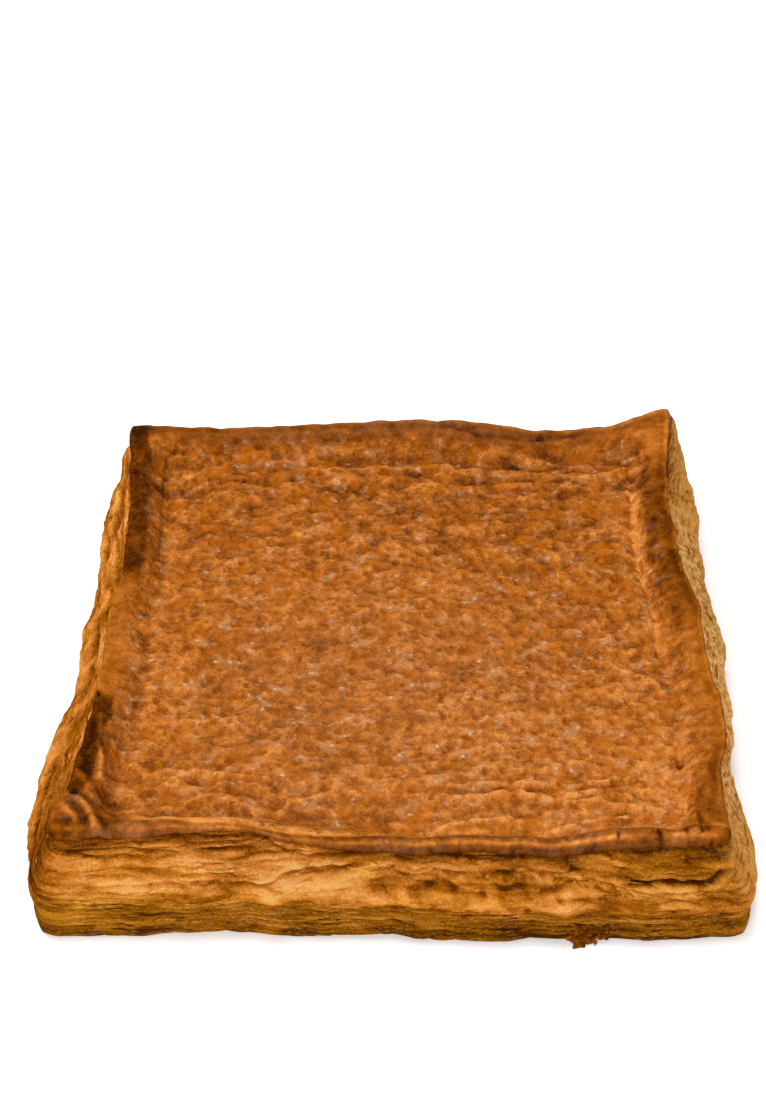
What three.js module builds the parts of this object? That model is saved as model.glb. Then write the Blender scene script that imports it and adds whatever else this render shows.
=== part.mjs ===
// A square family-size puff-pastry empanada, baked whole and uncut, in millimetres.
// +Z is up and the front edge faces -Y. The origin lies on the bench, under the middle of the pie.
// It is one solid: a docked lid panel sunk inside a raised rim, over a flaky wall that flares out to the base.

import * as THREE from "three";
import { mergeGeometries, mergeVertices } from "three/addons/utils/BufferGeometryUtils.js";

// Driving dimensions.
const LID_HALF = 136; // from the middle to the rim's outer edge, on average
const BASE_HALF = 150; // from the middle to the widest part of the base, on average
const CREST_HEIGHT = 46; // the rim's crest above the bench, on average
const PANEL_HEIGHT = 37; // the docked panel above the bench

// The rim, seen in section from its outer edge inwards.
const LIP_ROUNDING = 4; // width of the rounded outer edge
const LIP_FALL = 1.8; // how far that edge drops below the crest
const LIP_PROUD = 1.4; // how far the lip stands out past the layers under it
const LIP_DEPTH = 5; // from the crest down to the tuck under the lip
const CREST_INSET = 5; // from the outer edge to where the rim starts to fall inwards
const RIM_WIDTH = 19; // from the outer edge to the crease around the panel
const CREASE_DEPTH = 1.1; // how far the crease lies below the panel
const CREASE_SPREAD = 4; // half-width of the crease
const CREASE_CORNER = 30; // radius of the crease at a corner

// Plan corners, as radii.
const LID_CORNER = 6;
const BASE_CORNER = 14;
const ARC_SAGITTA = 1 - Math.SQRT1_2; // how far a quarter circle of radius 1 stays off its corner, along each axis

// How far an edge strays from its mean, at even stations along each side. The sides run front, right,
// rear and left, anticlockwise from above, so the front runs from left to right.
const CREST_LIFT = [
  [7, 4.5, 6.5, 0, -5.5, -1.5, -4.5, 2.5],
  [-1.5, 0, -2, -1, 0, -1, 0, 1],
  [7.5, -2, -2.5, 3, 2.5, 1, -1, -1.5],
  [-0.5, 0, -1, -2, -3, -4, -1, 2],
];
const LID_REACH = [
  [4, 2, 2, 2, 1, 2, 1.5, 2, 3],
  [3, 3, 3, 2, 0.5, -1.5, -2, -0.5, 4],
  [6, 3, 2, 2.5, 3, 2, 1, 1, 1],
  [-6, -7, -8, -9, -5.5, -6, -5.5, -1.5, 6],
];
const BASE_REACH = [
  [2, 2, 0, 1, 2, 4, 2.5, 3, 2],
  [1, 1, -3, 0, 2.5, 0, -1, 0, -2],
  [-1, 0, 1, -1, 0, 2, 0, -1, -2],
  [-10, -10, -8.5, -9.5, -7.5, -5.5, 0.5, 2.5, 0],
];

// Relief of the lid.
const DOCK_DEPTH = 0.9; // pricked pits, one on every other grid point of the panel
const DOCK_UNEVENNESS = 0.3; // share by which their depth varies
const DOCK_WAVE = { across: 37, deep: 61, phase: 0 };
const PANEL_SWELL = 0.7; // slow waves of the panel, with their angles in radians for each side's length
const PANEL_WAVES = [
  { across: 11, deep: 4, phase: 0 },
  { across: 5, deep: -13, phase: 1 },
];
const FOLD_HEIGHT = 1.3; // gathers that fan out at a corner
const FOLD_SPREAD = 20; // distance from the corner over which they die out
const FOLDS_PER_QUARTER = 3;

// Relief of the wall: broad leaves, of which the seam parts the lid's from the base's.
const LID_LEAVES = 3;
const BASE_LEAVES = 4;
const SEAM_SHARE = 0.42; // of the way from the rim down to the bench
const LEAF_PROUD = 1.1; // how far a leaf's nose stands out of the wall
const LEAF_TUCK = 0.5; // how far the gap under it lies behind the wall
const LEAF_NOSE = 0.45; // where the nose lies in a leaf, as a share of its thickness from the top
const SEAM_TUCK = 3;
const LEAF_SHIFT = 0.8; // how far a leaf wanders up and down
const LEAF_SHIFT_TURNS = 9; // fewest waves of a leaf round the pie
const LEAF_SHIFT_PHASE = 1.3; // from one leaf to the next
const LEAF_SWELL = 0.35; // share by which a leaf's nose waxes and wanes
const LEAF_SWELL_TURNS = 13;
const LEAF_SWELL_PHASE = 2.1; // from one row of the wall to the next
const FLARE_START = 0.1; // shares of the way down between which the wall leans out
const FLARE_END = 0.6;

// The foot of the wall.
const FOOT_EDGE = 1.6; // height of the lowest ragged edge
const FOOT_TUCK = 0.3; // how far it lies inside the base's widest line
const SOLE_INSET = 5; // from the base's widest line to the flat sole
const SOLE_PATCH = 100; // half-size of the plain square in the middle of the sole

// Faceting: distances of the grid lines from an edge, then even cells between them.
const EDGE_LINES = [0, 1.6, 4, 7.5, 11.5, 15.5, 19.5];
const PANEL_CELLS = 36;
const WELD_DISTANCE = 1e-3;

const CRUST_BROWN = 0xb4692b;

const SIDES = ["front", "right", "rear", "left"];
const CELLS = PANEL_CELLS + 2 * (EDGE_LINES.length - 1);
const LID_SIDE = 2 * LID_HALF;

const { lerp, smoothstep } = THREE.MathUtils;

// A smooth function of 0 to 1 through values at even stations.
function through(values) {
  const curve = new THREE.SplineCurve(values.map((value, i) => new THREE.Vector2(i, value)));
  return (t) => curve.getPoint(t).y;
}

const crestLift = CREST_LIFT.map((values, side) => through([...values, CREST_LIFT[(side + 1) % 4][0]]));

// A wavy square with rounded corners: the function gives the plan point on a side, at 0 to 1 along it.
function wavySquare(half, reaches, corner) {
  const stray = reaches.map(through);
  const spread = (side, t) => {
    const toCorner = Math.min(t, 1 - t) * 2 * half;
    const rounding = ARC_SAGITTA * corner * Math.max(0, 1 - toCorner / corner) ** 2;
    return half + stray[side](t) - rounding;
  };
  return (side, t) => {
    const run = lerp(-spread((side + 3) % 4, 1), spread((side + 1) % 4, 0), t);
    return new THREE.Vector2(run, -spread(side, t)).rotateAround(new THREE.Vector2(), (side * Math.PI) / 2);
  };
}

const lidEdge = wavySquare(LID_HALF, LID_REACH, LID_CORNER);
const baseEdge = wavySquare(BASE_HALF, BASE_REACH, BASE_CORNER);

// Where the grid lines lie, as shares of a side.
function gridShares() {
  const near = EDGE_LINES.map((distance) => distance / LID_SIDE);
  const first = near.at(-1);
  const inner = Array.from({ length: PANEL_CELLS - 1 }, (_, i) => lerp(first, 1 - first, (i + 1) / PANEL_CELLS));
  return [...near, ...inner, ...near.map((share) => 1 - share).reverse()];
}

const SHARES = gridShares();

// The plan point of the lid at shares u across and v deep: a patch blended between its four edges.
function lidPlan(u, v) {
  const across = lidEdge(0, u).lerp(lidEdge(2, 1 - u), v);
  const deep = lidEdge(3, 1 - v).lerp(lidEdge(1, v), u);
  const corners = lidEdge(0, 0).lerp(lidEdge(0, 1), u).lerp(lidEdge(2, 1).lerp(lidEdge(2, 0), u), v);
  return across.add(deep).sub(corners);
}

// A wave over the lid, at shares u across and v deep.
function lidWave({ across, deep, phase }, u, v) {
  return Math.sin(across * u + deep * v + phase);
}

// The crest's height at a point of the lid, weighed between the sides by how near they are.
function crestHeight(u, v, distances) {
  const places = [u, v, 1 - u, 1 - v];
  let sum = 0;
  let weights = 0;
  distances.forEach((distance, side) => {
    const weight = 1 / (distance + CREST_INSET) ** 2;
    sum += weight * crestLift[side](places[side]);
    weights += weight;
  });
  return CREST_HEIGHT + sum / weights;
}

// Gathers of the dough that fan out round a corner's raised tip.
function cornerFolds(toSide, toEnd) {
  const radius = Math.hypot(toSide, toEnd);
  const angle = Math.atan2(toEnd, toSide);
  return FOLD_HEIGHT * Math.exp(-((radius / FOLD_SPREAD) ** 2)) * Math.cos(4 * FOLDS_PER_QUARTER * angle);
}

// The lid's height at shares u and v, with a pit where the grid point is pricked.
function lidHeight(u, v, pricked) {
  const distances = [v, 1 - u, 1 - v, u].map((share) => share * LID_SIDE);
  const toSide = Math.min(distances[1], distances[3]);
  const toEnd = Math.min(distances[0], distances[2]);
  const edge = Math.min(toSide, toEnd);
  const inward = CREASE_CORNER - Math.hypot(Math.max(0, CREASE_CORNER - toSide), Math.max(0, CREASE_CORNER - toEnd));
  const onPanel = smoothstep(inward, CREST_INSET, RIM_WIDTH);
  const lip = LIP_FALL * Math.max(0, 1 - edge / LIP_ROUNDING) ** 2;
  const crease = CREASE_DEPTH * Math.exp(-(((inward - RIM_WIDTH) / CREASE_SPREAD) ** 2));
  const swell = PANEL_WAVES.reduce((sum, wave) => sum + PANEL_SWELL * lidWave(wave, u, v), 0);
  const depth = DOCK_DEPTH * (1 + DOCK_UNEVENNESS * (lidWave(DOCK_WAVE, u, v) - 1));
  const panel = PANEL_HEIGHT + swell - (pricked && inward > RIM_WIDTH ? depth : 0);
  const rim = crestHeight(u, v, distances) + cornerFolds(toSide, toEnd);
  return lerp(rim, panel, onPanel) - lip - crease;
}

// The lid: a grid laid over the plan patch.
function lidGeometry() {
  const geometry = new THREE.PlaneGeometry(1, 1, CELLS, CELLS);
  const position = geometry.getAttribute("position");
  for (let row = 0; row <= CELLS; row++) {
    for (let column = 0; column <= CELLS; column++) {
      const u = SHARES[column];
      const v = SHARES[CELLS - row];
      const plan = lidPlan(u, v);
      const pricked = (row + column) % 2 === 0;
      position.setXYZ(row * (CELLS + 1) + column, plan.x, plan.y, lidHeight(u, v, pricked));
    }
  }
  return geometry;
}

// The rows of the wall under the lid's edge, from the lip down to the last leaf. Each lies at a share of
// the way down and stands proud of the wall by a distance, which waxes and wanes along the leaf.
function wallRows() {
  const lipShare = LIP_DEPTH / CREST_HEIGHT;
  const rows = [
    { share: lipShare / 2, proud: LIP_PROUD },
    { share: lipShare, proud: -LIP_PROUD },
  ];
  const footShare = 1 - (2 * FOOT_EDGE) / CREST_HEIGHT;
  const addLeaves = (from, to, count) => {
    for (let leaf = 0; leaf < count; leaf++) {
      rows.push({ share: lerp(from, to, (leaf + LEAF_NOSE) / count), proud: LEAF_PROUD });
      rows.push({ share: lerp(from, to, (leaf + 1) / count), proud: -LEAF_TUCK });
    }
  };
  addLeaves(lipShare, SEAM_SHARE, LID_LEAVES);
  rows.at(-1).proud = -SEAM_TUCK;
  addLeaves(SEAM_SHARE, footShare, BASE_LEAVES);
  return rows;
}

const WALL_ROWS = wallRows();

// How a row of leaves wanders along the side: one wave to shift it and one to swell it, both closed round the pie.
function leafWaves(row, around) {
  const turn = 2 * Math.PI * around;
  return {
    shift: LEAF_SHIFT * Math.sin((LEAF_SHIFT_TURNS + (row % 3)) * turn + LEAF_SHIFT_PHASE * Math.floor(row / 2)),
    swell: 1 + LEAF_SWELL * (Math.sin((LEAF_SWELL_TURNS + (row % 4)) * turn + LEAF_SWELL_PHASE * row) - 1),
  };
}

// A point of the wall: row 0 is the lid's own edge, and the last two rows are the ragged foot and the sole.
function wallPoint(side, t, row) {
  const [u, v] = [[t, 0], [1, t], [1 - t, 1], [0, 1 - t]][side];
  const lid = lidPlan(u, v);
  const base = baseEdge(side, t);
  const height = lidHeight(u, v, false);
  const out = base.clone().sub(lid).normalize();
  if (row === 0) {
    return new THREE.Vector3(lid.x, lid.y, height);
  }
  if (row === WALL_ROWS.length + 1) {
    const foot = base.addScaledVector(out, -FOOT_TUCK);
    return new THREE.Vector3(foot.x, foot.y, FOOT_EDGE);
  }
  if (row === WALL_ROWS.length + 2) {
    const sole = base.addScaledVector(out, -SOLE_INSET);
    return new THREE.Vector3(sole.x, sole.y, 0);
  }
  const { share, proud } = WALL_ROWS[row - 1];
  const { shift, swell } = leafWaves(row, (side + t) / 4);
  const isLip = row <= 2;
  const flare = smoothstep(share, FLARE_START, FLARE_END);
  const place = lid.lerp(base, flare).addScaledVector(out, isLip ? proud : proud * swell);
  return new THREE.Vector3(place.x, place.y, height * (1 - share) + (isLip ? 0 : shift));
}

// The wall: a grid bent round the four sides.
function wallGeometry() {
  const rows = WALL_ROWS.length + 2;
  const columns = SIDES.length * CELLS;
  const geometry = new THREE.PlaneGeometry(1, 1, columns, rows);
  const position = geometry.getAttribute("position");
  for (let row = 0; row <= rows; row++) {
    for (let column = 0; column <= columns; column++) {
      const side = Math.floor(column / CELLS) % SIDES.length;
      const point = wallPoint(side, SHARES[column % CELLS], row);
      position.setXYZ(row * (columns + 1) + column, point.x, point.y, point.z);
    }
  }
  return geometry;
}

// The flat sole: a plain square patch and the ring from it to the foot, both facing down.
function soleGeometries() {
  const lastRow = WALL_ROWS.length + 2;
  const outline = SIDES.flatMap((_, side) =>
    SHARES.slice(0, -1).map((t) => {
      const point = wallPoint(side, t, lastRow);
      return new THREE.Vector2(point.x, -point.y);
    }),
  );
  const patch = [[-1, -1], [1, -1], [1, 1], [-1, 1]].map(([x, y]) => new THREE.Vector2(x * SOLE_PATCH, y * SOLE_PATCH));
  const ring = new THREE.Shape(outline);
  ring.holes.push(new THREE.Path(patch));
  return [ring, new THREE.Shape(patch)].map((shape) => new THREE.ShapeGeometry(shape).rotateX(Math.PI));
}

// Joins the surfaces into one closed solid, centred over the origin.
function empanadaGeometry() {
  const surfaces = [lidGeometry(), wallGeometry(), ...soleGeometries()];
  for (const surface of surfaces) {
    surface.deleteAttribute("normal");
    surface.deleteAttribute("uv");
  }
  const solid = mergeVertices(mergeGeometries(surfaces), WELD_DISTANCE);
  solid.computeBoundingBox();
  const middle = solid.boundingBox.getCenter(new THREE.Vector3());
  solid.translate(-middle.x, -middle.y, 0);
  solid.computeVertexNormals();
  return solid;
}

const crust = new THREE.MeshStandardMaterial({ name: "crust", color: CRUST_BROWN, roughness: 0.5, metalness: 0 });
const empanada = new THREE.Mesh(empanadaGeometry(), crust);
empanada.name = "empanada";

const pie = new THREE.Group();
pie.add(empanada);

export default pie;
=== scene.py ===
"""A square puff-pastry empanada: an egg-washed docked lid over flaky sides, with loose flakes and crumbs.

Sizes are in millimetres and meshes are made in metres. +Z is up and the front edge faces -Y.
"""

import itertools
import logging
import math
from dataclasses import dataclass
from enum import IntEnum
from functools import partial, reduce
from typing import Sequence

import bpy
import numpy as np
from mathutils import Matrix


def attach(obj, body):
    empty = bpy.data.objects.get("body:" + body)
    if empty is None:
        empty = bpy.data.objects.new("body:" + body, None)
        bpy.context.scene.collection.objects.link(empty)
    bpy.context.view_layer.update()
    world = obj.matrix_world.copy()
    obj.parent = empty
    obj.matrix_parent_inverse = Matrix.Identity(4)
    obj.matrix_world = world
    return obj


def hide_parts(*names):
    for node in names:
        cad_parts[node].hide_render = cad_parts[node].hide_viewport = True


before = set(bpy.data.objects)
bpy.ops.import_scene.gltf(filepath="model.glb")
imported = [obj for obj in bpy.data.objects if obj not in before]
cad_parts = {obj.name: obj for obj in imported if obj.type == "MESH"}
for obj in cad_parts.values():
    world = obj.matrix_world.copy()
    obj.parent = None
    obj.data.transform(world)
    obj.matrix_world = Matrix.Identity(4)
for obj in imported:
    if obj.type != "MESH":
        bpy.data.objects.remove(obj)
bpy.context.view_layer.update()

Array = np.ndarray
Span = tuple[float, float]
Place = tuple[float, float, float]
Colour = tuple[float, float, float]
Shades = tuple[tuple[float, Colour], ...]
Curves = tuple[tuple[float, ...], ...]
Material = bpy.types.Material
Piece = bpy.types.Object
Socket = bpy.types.NodeSocket
Sockets = bpy.types.bpy_prop_collection
Feed = Socket | float | int | str | tuple | Material
Feeds = dict[str | int, Feed]

MM = 0.001
BODY = "root"
NODE = "empanada"
ARC_SAGITTA = 1 - math.sqrt(0.5)
NOISE_MIDDLE = 0.5
WHITE = (1.0, 1.0, 1.0, 1.0)

log = logging.getLogger("empanada")


class Side(IntEnum):
    """The sides of the pie, anticlockwise from above."""

    FRONT = 0
    RIGHT = 1
    REAR = 2
    LEFT = 3


def eased(value: Array, low: float, high: float) -> Array:
    """Rises smoothly from 0 at low to 1 at high."""
    share = np.clip((value - low) / (high - low), 0, 1)
    return share * share * (3 - 2 * share)


def window(value: Array, low: float, high: float, soft: float) -> Array:
    """Is 1 between two bounds and 0 outside them; soft is half the width of each end."""
    rise = eased(value, low - soft, low + soft)
    return rise * (1 - eased(value, high - soft, high + soft))


def bell(value: Array, middle: float, spread: float) -> Array:
    """A bell curve of height 1."""
    return np.exp(-(((value - middle) / spread) ** 2))


def through(values: Sequence[float], share: Array) -> Array:
    """Reads a smooth curve through values at even stations.

    Args:
        values: The curve's value at each station.
        share: Where to read it, from 0 at the first station to 1 at the last.

    Returns:
        The curve's value at each share.
    """
    points = np.asarray(values, float)
    last = len(points) - 1
    place = np.clip(share, 0, 1) * last
    index = np.minimum(place.astype(int), last - 1)
    t = place - index
    before = points[np.maximum(index - 1, 0)]
    start = points[index]
    end = points[index + 1]
    after = points[np.minimum(index + 2, last)]
    rise = (end - before) / 2
    fall = (after - start) / 2
    cubic = 2 * start - 2 * end + rise + fall
    square = -3 * start + 3 * end - 2 * rise - fall
    return ((cubic * t + square) * t + rise) * t + start


def averaged(grid: Array, reach: int, axis: int, closed: bool) -> Array:
    """Averages a grid over its neighbours along one axis.

    Args:
        grid: The values.
        reach: How many neighbours count on each side.
        axis: The axis.
        closed: Whether the grid runs on from its end to its start.

    Returns:
        The averages.
    """
    widths = [(reach, reach) if number == axis else (0, 0) for number in range(grid.ndim)]
    padded = np.pad(grid, widths, mode="wrap" if closed else "edge")
    total = np.cumsum(np.insert(padded, 0, 0, axis), axis)
    count = 2 * reach + 1
    ahead = np.take(total, range(count, total.shape[axis]), axis)
    behind = np.take(total, range(grid.shape[axis]), axis)
    return (ahead - behind) / count


class DoughNoise:
    """Smooth seeded noise in three dimensions, of about -1 to 1."""

    CELLS = 256
    SCALE = 1.6

    def __init__(self, seed: int) -> None:
        """Draws the slopes at the noise's grid points.

        Args:
            seed: What fixes the draw.
        """
        random = np.random.default_rng(seed)
        self._order = random.permutation(self.CELLS)
        slopes = random.normal(size=(self.CELLS, 3))
        self._slopes = slopes / np.linalg.norm(slopes, axis=1, keepdims=True)

    def __call__(self, x: Array, y: Array, z: Array | float) -> Array:
        """Reads the noise.

        Args:
            x: First coordinate, in cells.
            y: Second coordinate.
            z: Third coordinate.

        Returns:
            The noise at each point.
        """
        places = np.broadcast_arrays(x, y, z)
        cells = [np.floor(place).astype(int) for place in places]
        parts = [place - cell for place, cell in zip(places, cells)]
        fades = [part**3 * (part * (part * 6 - 15) + 10) for part in parts]
        total = np.zeros(places[0].shape)
        for corner in itertools.product((0, 1), repeat=3):
            index = np.zeros(places[0].shape, int)
            weight = np.ones(places[0].shape)
            for cell, fade, step in zip(cells, fades, corner):
                index = self._order[(index + cell + step) % self.CELLS]
                weight = weight * (fade if step else 1 - fade)
            slope = self._slopes[index]
            dot = sum(slope[..., axis] * (parts[axis] - corner[axis]) for axis in range(3))
            total += weight * dot
        return total * self.SCALE

    def fractal(self, x: Array, y: Array, z: Array | float, octaves: int) -> Array:
        """Sums octaves of the noise, each twice as fine and half as strong.

        Args:
            x: First coordinate, in cells of the coarsest octave.
            y: Second coordinate.
            z: Third coordinate.
            octaves: How many to sum.

        Returns:
            The sum at each point.
        """
        total = np.zeros(np.broadcast(x, y, z).shape)
        for octave in range(octaves):
            fineness = 2**octave
            total += self(x * fineness, y * fineness, z * fineness + 17 * octave) / fineness
        return total


@dataclass(frozen=True)
class WavySquare:
    """A square in plan with wavy sides and rounded corners.

    reaches holds, for each side, how far it strays outwards at even stations; ripple is a finer waviness.
    """

    WAVES = ((37, 1.0), (61, 1.0), (97, 0.7))
    WAVE_FADE = 12.0

    half: float
    corner: float
    ripple: float
    reaches: Curves

    def spread(self, side: int, share: Array) -> Array:
        """The distance of a side from the middle.

        Args:
            side: The side.
            share: Places along it, from 0 to 1.

        Returns:
            The distances.
        """
        to_corner = np.minimum(share, 1 - share) * 2 * self.half
        rounding = ARC_SAGITTA * self.corner * np.maximum(0, 1 - to_corner / self.corner) ** 2
        waves = np.zeros(share.shape)
        for number, (turns, gain) in enumerate(self.WAVES, 1):
            waves += gain * np.sin(turns * share + number * side)
        waves = self.ripple * waves * eased(to_corner, 0, self.WAVE_FADE)
        return self.half + through(self.reaches[side], share) + waves - rounding

    def plan(self, side: int, share: Array) -> Array:
        """Plan points on a side.

        Args:
            side: The side.
            share: Places along it, from 0 to 1.

        Returns:
            The points, with x and y on the last axis.
        """
        before = self.spread((side + 3) % len(Side), np.ones(1))
        after = self.spread((side + 1) % len(Side), np.zeros(1))
        x = -before + (before + after) * share
        y = -self.spread(side, share)
        for _ in range(side):
            x, y = -y, x
        return np.stack((x, y), -1)


@dataclass(frozen=True)
class Ring:
    """The wall's columns: plan points, the way out, the lip's height and radius, and places along a side."""

    lid: Array
    base: Array
    out: Array
    lip: Array
    roll: Array
    side: Array
    along: Array

    @property
    def x(self) -> Array:
        """Places across, at the base."""
        return self.base[:, 0]

    @property
    def y(self) -> Array:
        """Places in depth, at the base."""
        return self.base[:, 1]


@dataclass(frozen=True)
class PieForm:
    """The main form of the pie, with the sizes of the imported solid."""

    crest_height: float = 46.0
    panel_height: float = 37.0
    crest_inset: float = 5.0
    rim_width: float = 19.0
    crease_corner: float = 30.0
    flare_start: float = 0.1
    flare_end: float = 0.6
    middle: tuple[float, float] = (-0.11, -1.01)
    crest_lift: Curves = (
        (7, 4.5, 6.5, -1.5, -6.5, -4, -6, 0.5, -1.5),
        (-1.5, 0, -2, -1, 0, -1, 0, 1, 7.5),
        (7.5, -2, -2.5, 3, 2.5, 1, 0.2, 0.2, 2.2),
        (2.2, 1.5, -0.5, -2, -3, -4, -1, 2, 7),
    )
    roll_radius: Curves = (
        (4.0, 3.6, 1.6, 1.7, 3.9, 3.8, 4.7, 5.3, 3.4),
        (3.4, 1.4, 1.0, 0.9, 0.9, 0.9, 0.9, 1.0, 1.8),
        (1.6, 1.8, 2.0, 2.2, 2.0, 1.8, 1.8, 2.0, 1.8),
        (1.8, 1.6, 1.4, 1.2, 1.0, 1.0, 1.2, 1.6, 4.0),
    )
    lid: WavySquare = WavySquare(
        half=136.0,
        corner=6.0,
        ripple=0.3,
        reaches=(
            (4, 2, 2, 2, 1, 2, 1.5, 2, 3),
            (2.5, 2, 8, 4.2, 4.3, -0.5, -2, -0.2, 5),
            (6, 3, 2, 2.5, 3, 2, 1, 1, 1),
            (-4.2, -8.0, -10, -10, -7, -6, -4.5, -1.5, 5),
        ),
    )
    base: WavySquare = WavySquare(
        half=150.0,
        corner=7.0,
        ripple=0.3,
        reaches=(
            (2, 2, 0.5, 2, 3, 5, 3.5, 4, 2.5),
            (-2, 1, 1.5, -2, -3, -0.5, 1, 1, 3, 2.5, 0.5, -0.5, 0, 1.5, 1, -0.5, 0),
            (-1, 0, 1, -1, 0, 2, 0, -1, -2),
            (-12, -13.5, -11.5, -8.5, -8.5, -10, -9.5, -7, -6.5, -6.5, -4.5, 0.5, 2, 3, 4, 1, -2),
        ),
    )

    @property
    def lid_side(self) -> float:
        """The mean length of a side of the lid."""
        return 2 * self.lid.half

    def blend(self, curves: Curves, u: Array, v: Array) -> Array:
        """Reads curves along the four sides at shares of the lid, weighed by how near the sides are.

        Args:
            curves: Values at even stations along each side.
            u: Shares across, from the left.
            v: Shares in depth, from the front.

        Returns:
            The value at each place.
        """
        total = np.zeros(np.broadcast(u, v).shape)
        weights = np.zeros_like(total)
        shares = (u, v, 1 - u, 1 - v)
        for side, distance in enumerate(self.distances(u, v)):
            weight = 1 / (distance + self.crest_inset) ** 2
            total += weight * through(curves[side], shares[side])
            weights += weight
        return total / weights

    def crest(self, u: Array, v: Array) -> Array:
        """The rim's height at shares of the lid."""
        return self.crest_height + self.blend(self.crest_lift, u, v)

    def roll(self, u: Array, v: Array) -> Array:
        """The radius of the rolled lip at shares of the lid."""
        return self.blend(self.roll_radius, u, v)

    def distances(self, u: Array, v: Array) -> tuple[Array, Array, Array, Array]:
        """Distances from the front, right, rear and left edge of the lid."""
        return v * self.lid_side, (1 - u) * self.lid_side, (1 - v) * self.lid_side, u * self.lid_side

    def lid_plan(self, u: Array, v: Array) -> Array:
        """Plan points of the lid, blended between its four edges.

        Args:
            u: Shares across, from the left.
            v: Shares in depth, from the front.

        Returns:
            The points, with x and y on the last axis.
        """
        front = self.lid.plan(Side.FRONT, u)
        rear = self.lid.plan(Side.REAR, 1 - u)
        left = self.lid.plan(Side.LEFT, 1 - v)
        right = self.lid.plan(Side.RIGHT, v)
        across = u[..., None]
        deep = v[..., None]
        zero = np.zeros(1)
        near = self.lid.plan(Side.FRONT, zero) * (1 - across) + self.lid.plan(Side.RIGHT, zero) * across
        far = self.lid.plan(Side.LEFT, zero) * (1 - across) + self.lid.plan(Side.REAR, zero) * across
        sides = left * (1 - across) + right * across
        ends = front * (1 - deep) + rear * deep
        return sides + ends - near * (1 - deep) - far * deep

    def edges(self, share: Array) -> tuple[Array, Array, Array]:
        """Plan points round the lid and round the base, and the way out between them.

        Args:
            share: Places along each side, from 0 to 1.

        Returns:
            The lid's points, the base's and the directions, anticlockwise from the front left corner.
        """
        lid = np.concatenate([self.lid.plan(side, share) for side in Side])
        base = np.concatenate([self.base.plan(side, share) for side in Side])
        out = base - lid
        return lid, base, out / np.linalg.norm(out, axis=1, keepdims=True)

    def ring(self, columns: int) -> Ring:
        """Lays the wall's columns round the pie.

        Args:
            columns: How many there are on each side.

        Returns:
            The columns, anticlockwise from the front left corner.
        """
        share = np.arange(columns) / columns
        zero = np.zeros(columns)
        one = np.ones(columns)
        places = ((share, zero), (one, share), (1 - share, one), (zero, 1 - share))
        lid, base, out = self.edges(share)
        lip = np.concatenate([self.crest(u, v) for u, v in places])
        roll = np.concatenate([self.roll(u, v) for u, v in places])
        side = np.repeat(np.arange(len(Side)), columns)
        turn = side * math.pi / 2
        middle = 0.4 * lid + 0.6 * base
        along = middle[:, 0] * np.cos(turn) + middle[:, 1] * np.sin(turn)
        return Ring(lid, base, out, lip, roll, side, along)

    def wall_point(self, ring: Ring, height: Array, proud: Array) -> Array:
        """Points of the wall.

        Args:
            ring: The wall's columns.
            height: Heights above the bench.
            proud: How far the points stand out of the flaring wall.

        Returns:
            The points, with x, y and z on the last axis.
        """
        flare = eased(1 - height / ring.lip, self.flare_start, self.flare_end)[..., None]
        plan = ring.lid * (1 - flare) + ring.base * flare + ring.out * proud[..., None]
        return np.concatenate((plan, height[..., None]), -1)

    def placed(self, points: Array) -> Array:
        """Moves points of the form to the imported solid's place, in metres."""
        return (points - np.array((*self.middle, 0))) * MM


def mesh_piece(name: str, points: Array, faces: list[Array], attributes: dict[str, Array]) -> Piece:
    """Makes a smooth mesh object with vertex attributes.

    Args:
        name: The piece's name.
        points: Its vertices in metres.
        faces: Arrays of vertex indices, one row for each face.
        attributes: Numbers for each vertex, by name.

    Returns:
        The object, in the scene.
    """
    mesh = bpy.data.meshes.new(name)
    corners = np.concatenate([block.ravel() for block in faces])
    counts = np.concatenate([np.full(len(block), block.shape[1]) for block in faces])
    starts = np.concatenate(([0], np.cumsum(counts)[:-1]))
    mesh.vertices.add(len(points))
    mesh.vertices.foreach_set("co", points.astype(np.float32).ravel())
    mesh.loops.add(len(corners))
    mesh.loops.foreach_set("vertex_index", corners.astype(np.int32))
    mesh.polygons.add(len(counts))
    mesh.polygons.foreach_set("loop_start", starts.astype(np.int32))
    mesh.polygons.foreach_set("use_smooth", np.ones(len(counts), bool))
    mesh.update(calc_edges=True)
    mesh.validate()
    for key, values in attributes.items():
        layer = mesh.attributes.new(key, "FLOAT", "POINT")
        layer.data.foreach_set("value", values.astype(np.float32))
    piece = bpy.data.objects.new(name, mesh)
    bpy.context.scene.collection.objects.link(piece)
    return piece


def ring_faces(upper: Array, lower: Array) -> Array:
    """Quads between two closed rows of vertices that run anticlockwise, facing outwards."""
    return np.column_stack((upper, lower, np.roll(lower, -1), np.roll(upper, -1)))


def cap_faces(row: Array, middle: int, faces_up: bool) -> Array:
    """A fan of triangles from a closed row to a middle vertex, facing up or down."""
    sides = (row, np.roll(row, -1)) if faces_up else (np.roll(row, -1), row)
    return np.column_stack((*sides, np.full(len(row), middle)))


def dress(piece: Piece) -> None:
    """Ties a piece to the frame and reports it.

    Args:
        piece: The finished piece.
    """
    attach(piece, BODY)
    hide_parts(NODE)
    mesh = piece.data
    mesh.calc_loop_triangles()
    log.info("%s: %d triangles", piece.name, len(mesh.loop_triangles))


@dataclass(frozen=True)
class Veil:
    """A colour over another: it starts to show at low, shows most at high, and covers at most a share."""

    colour: Colour
    low: float = 0.0
    high: float = 1.0
    share: float = 1.0


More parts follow.
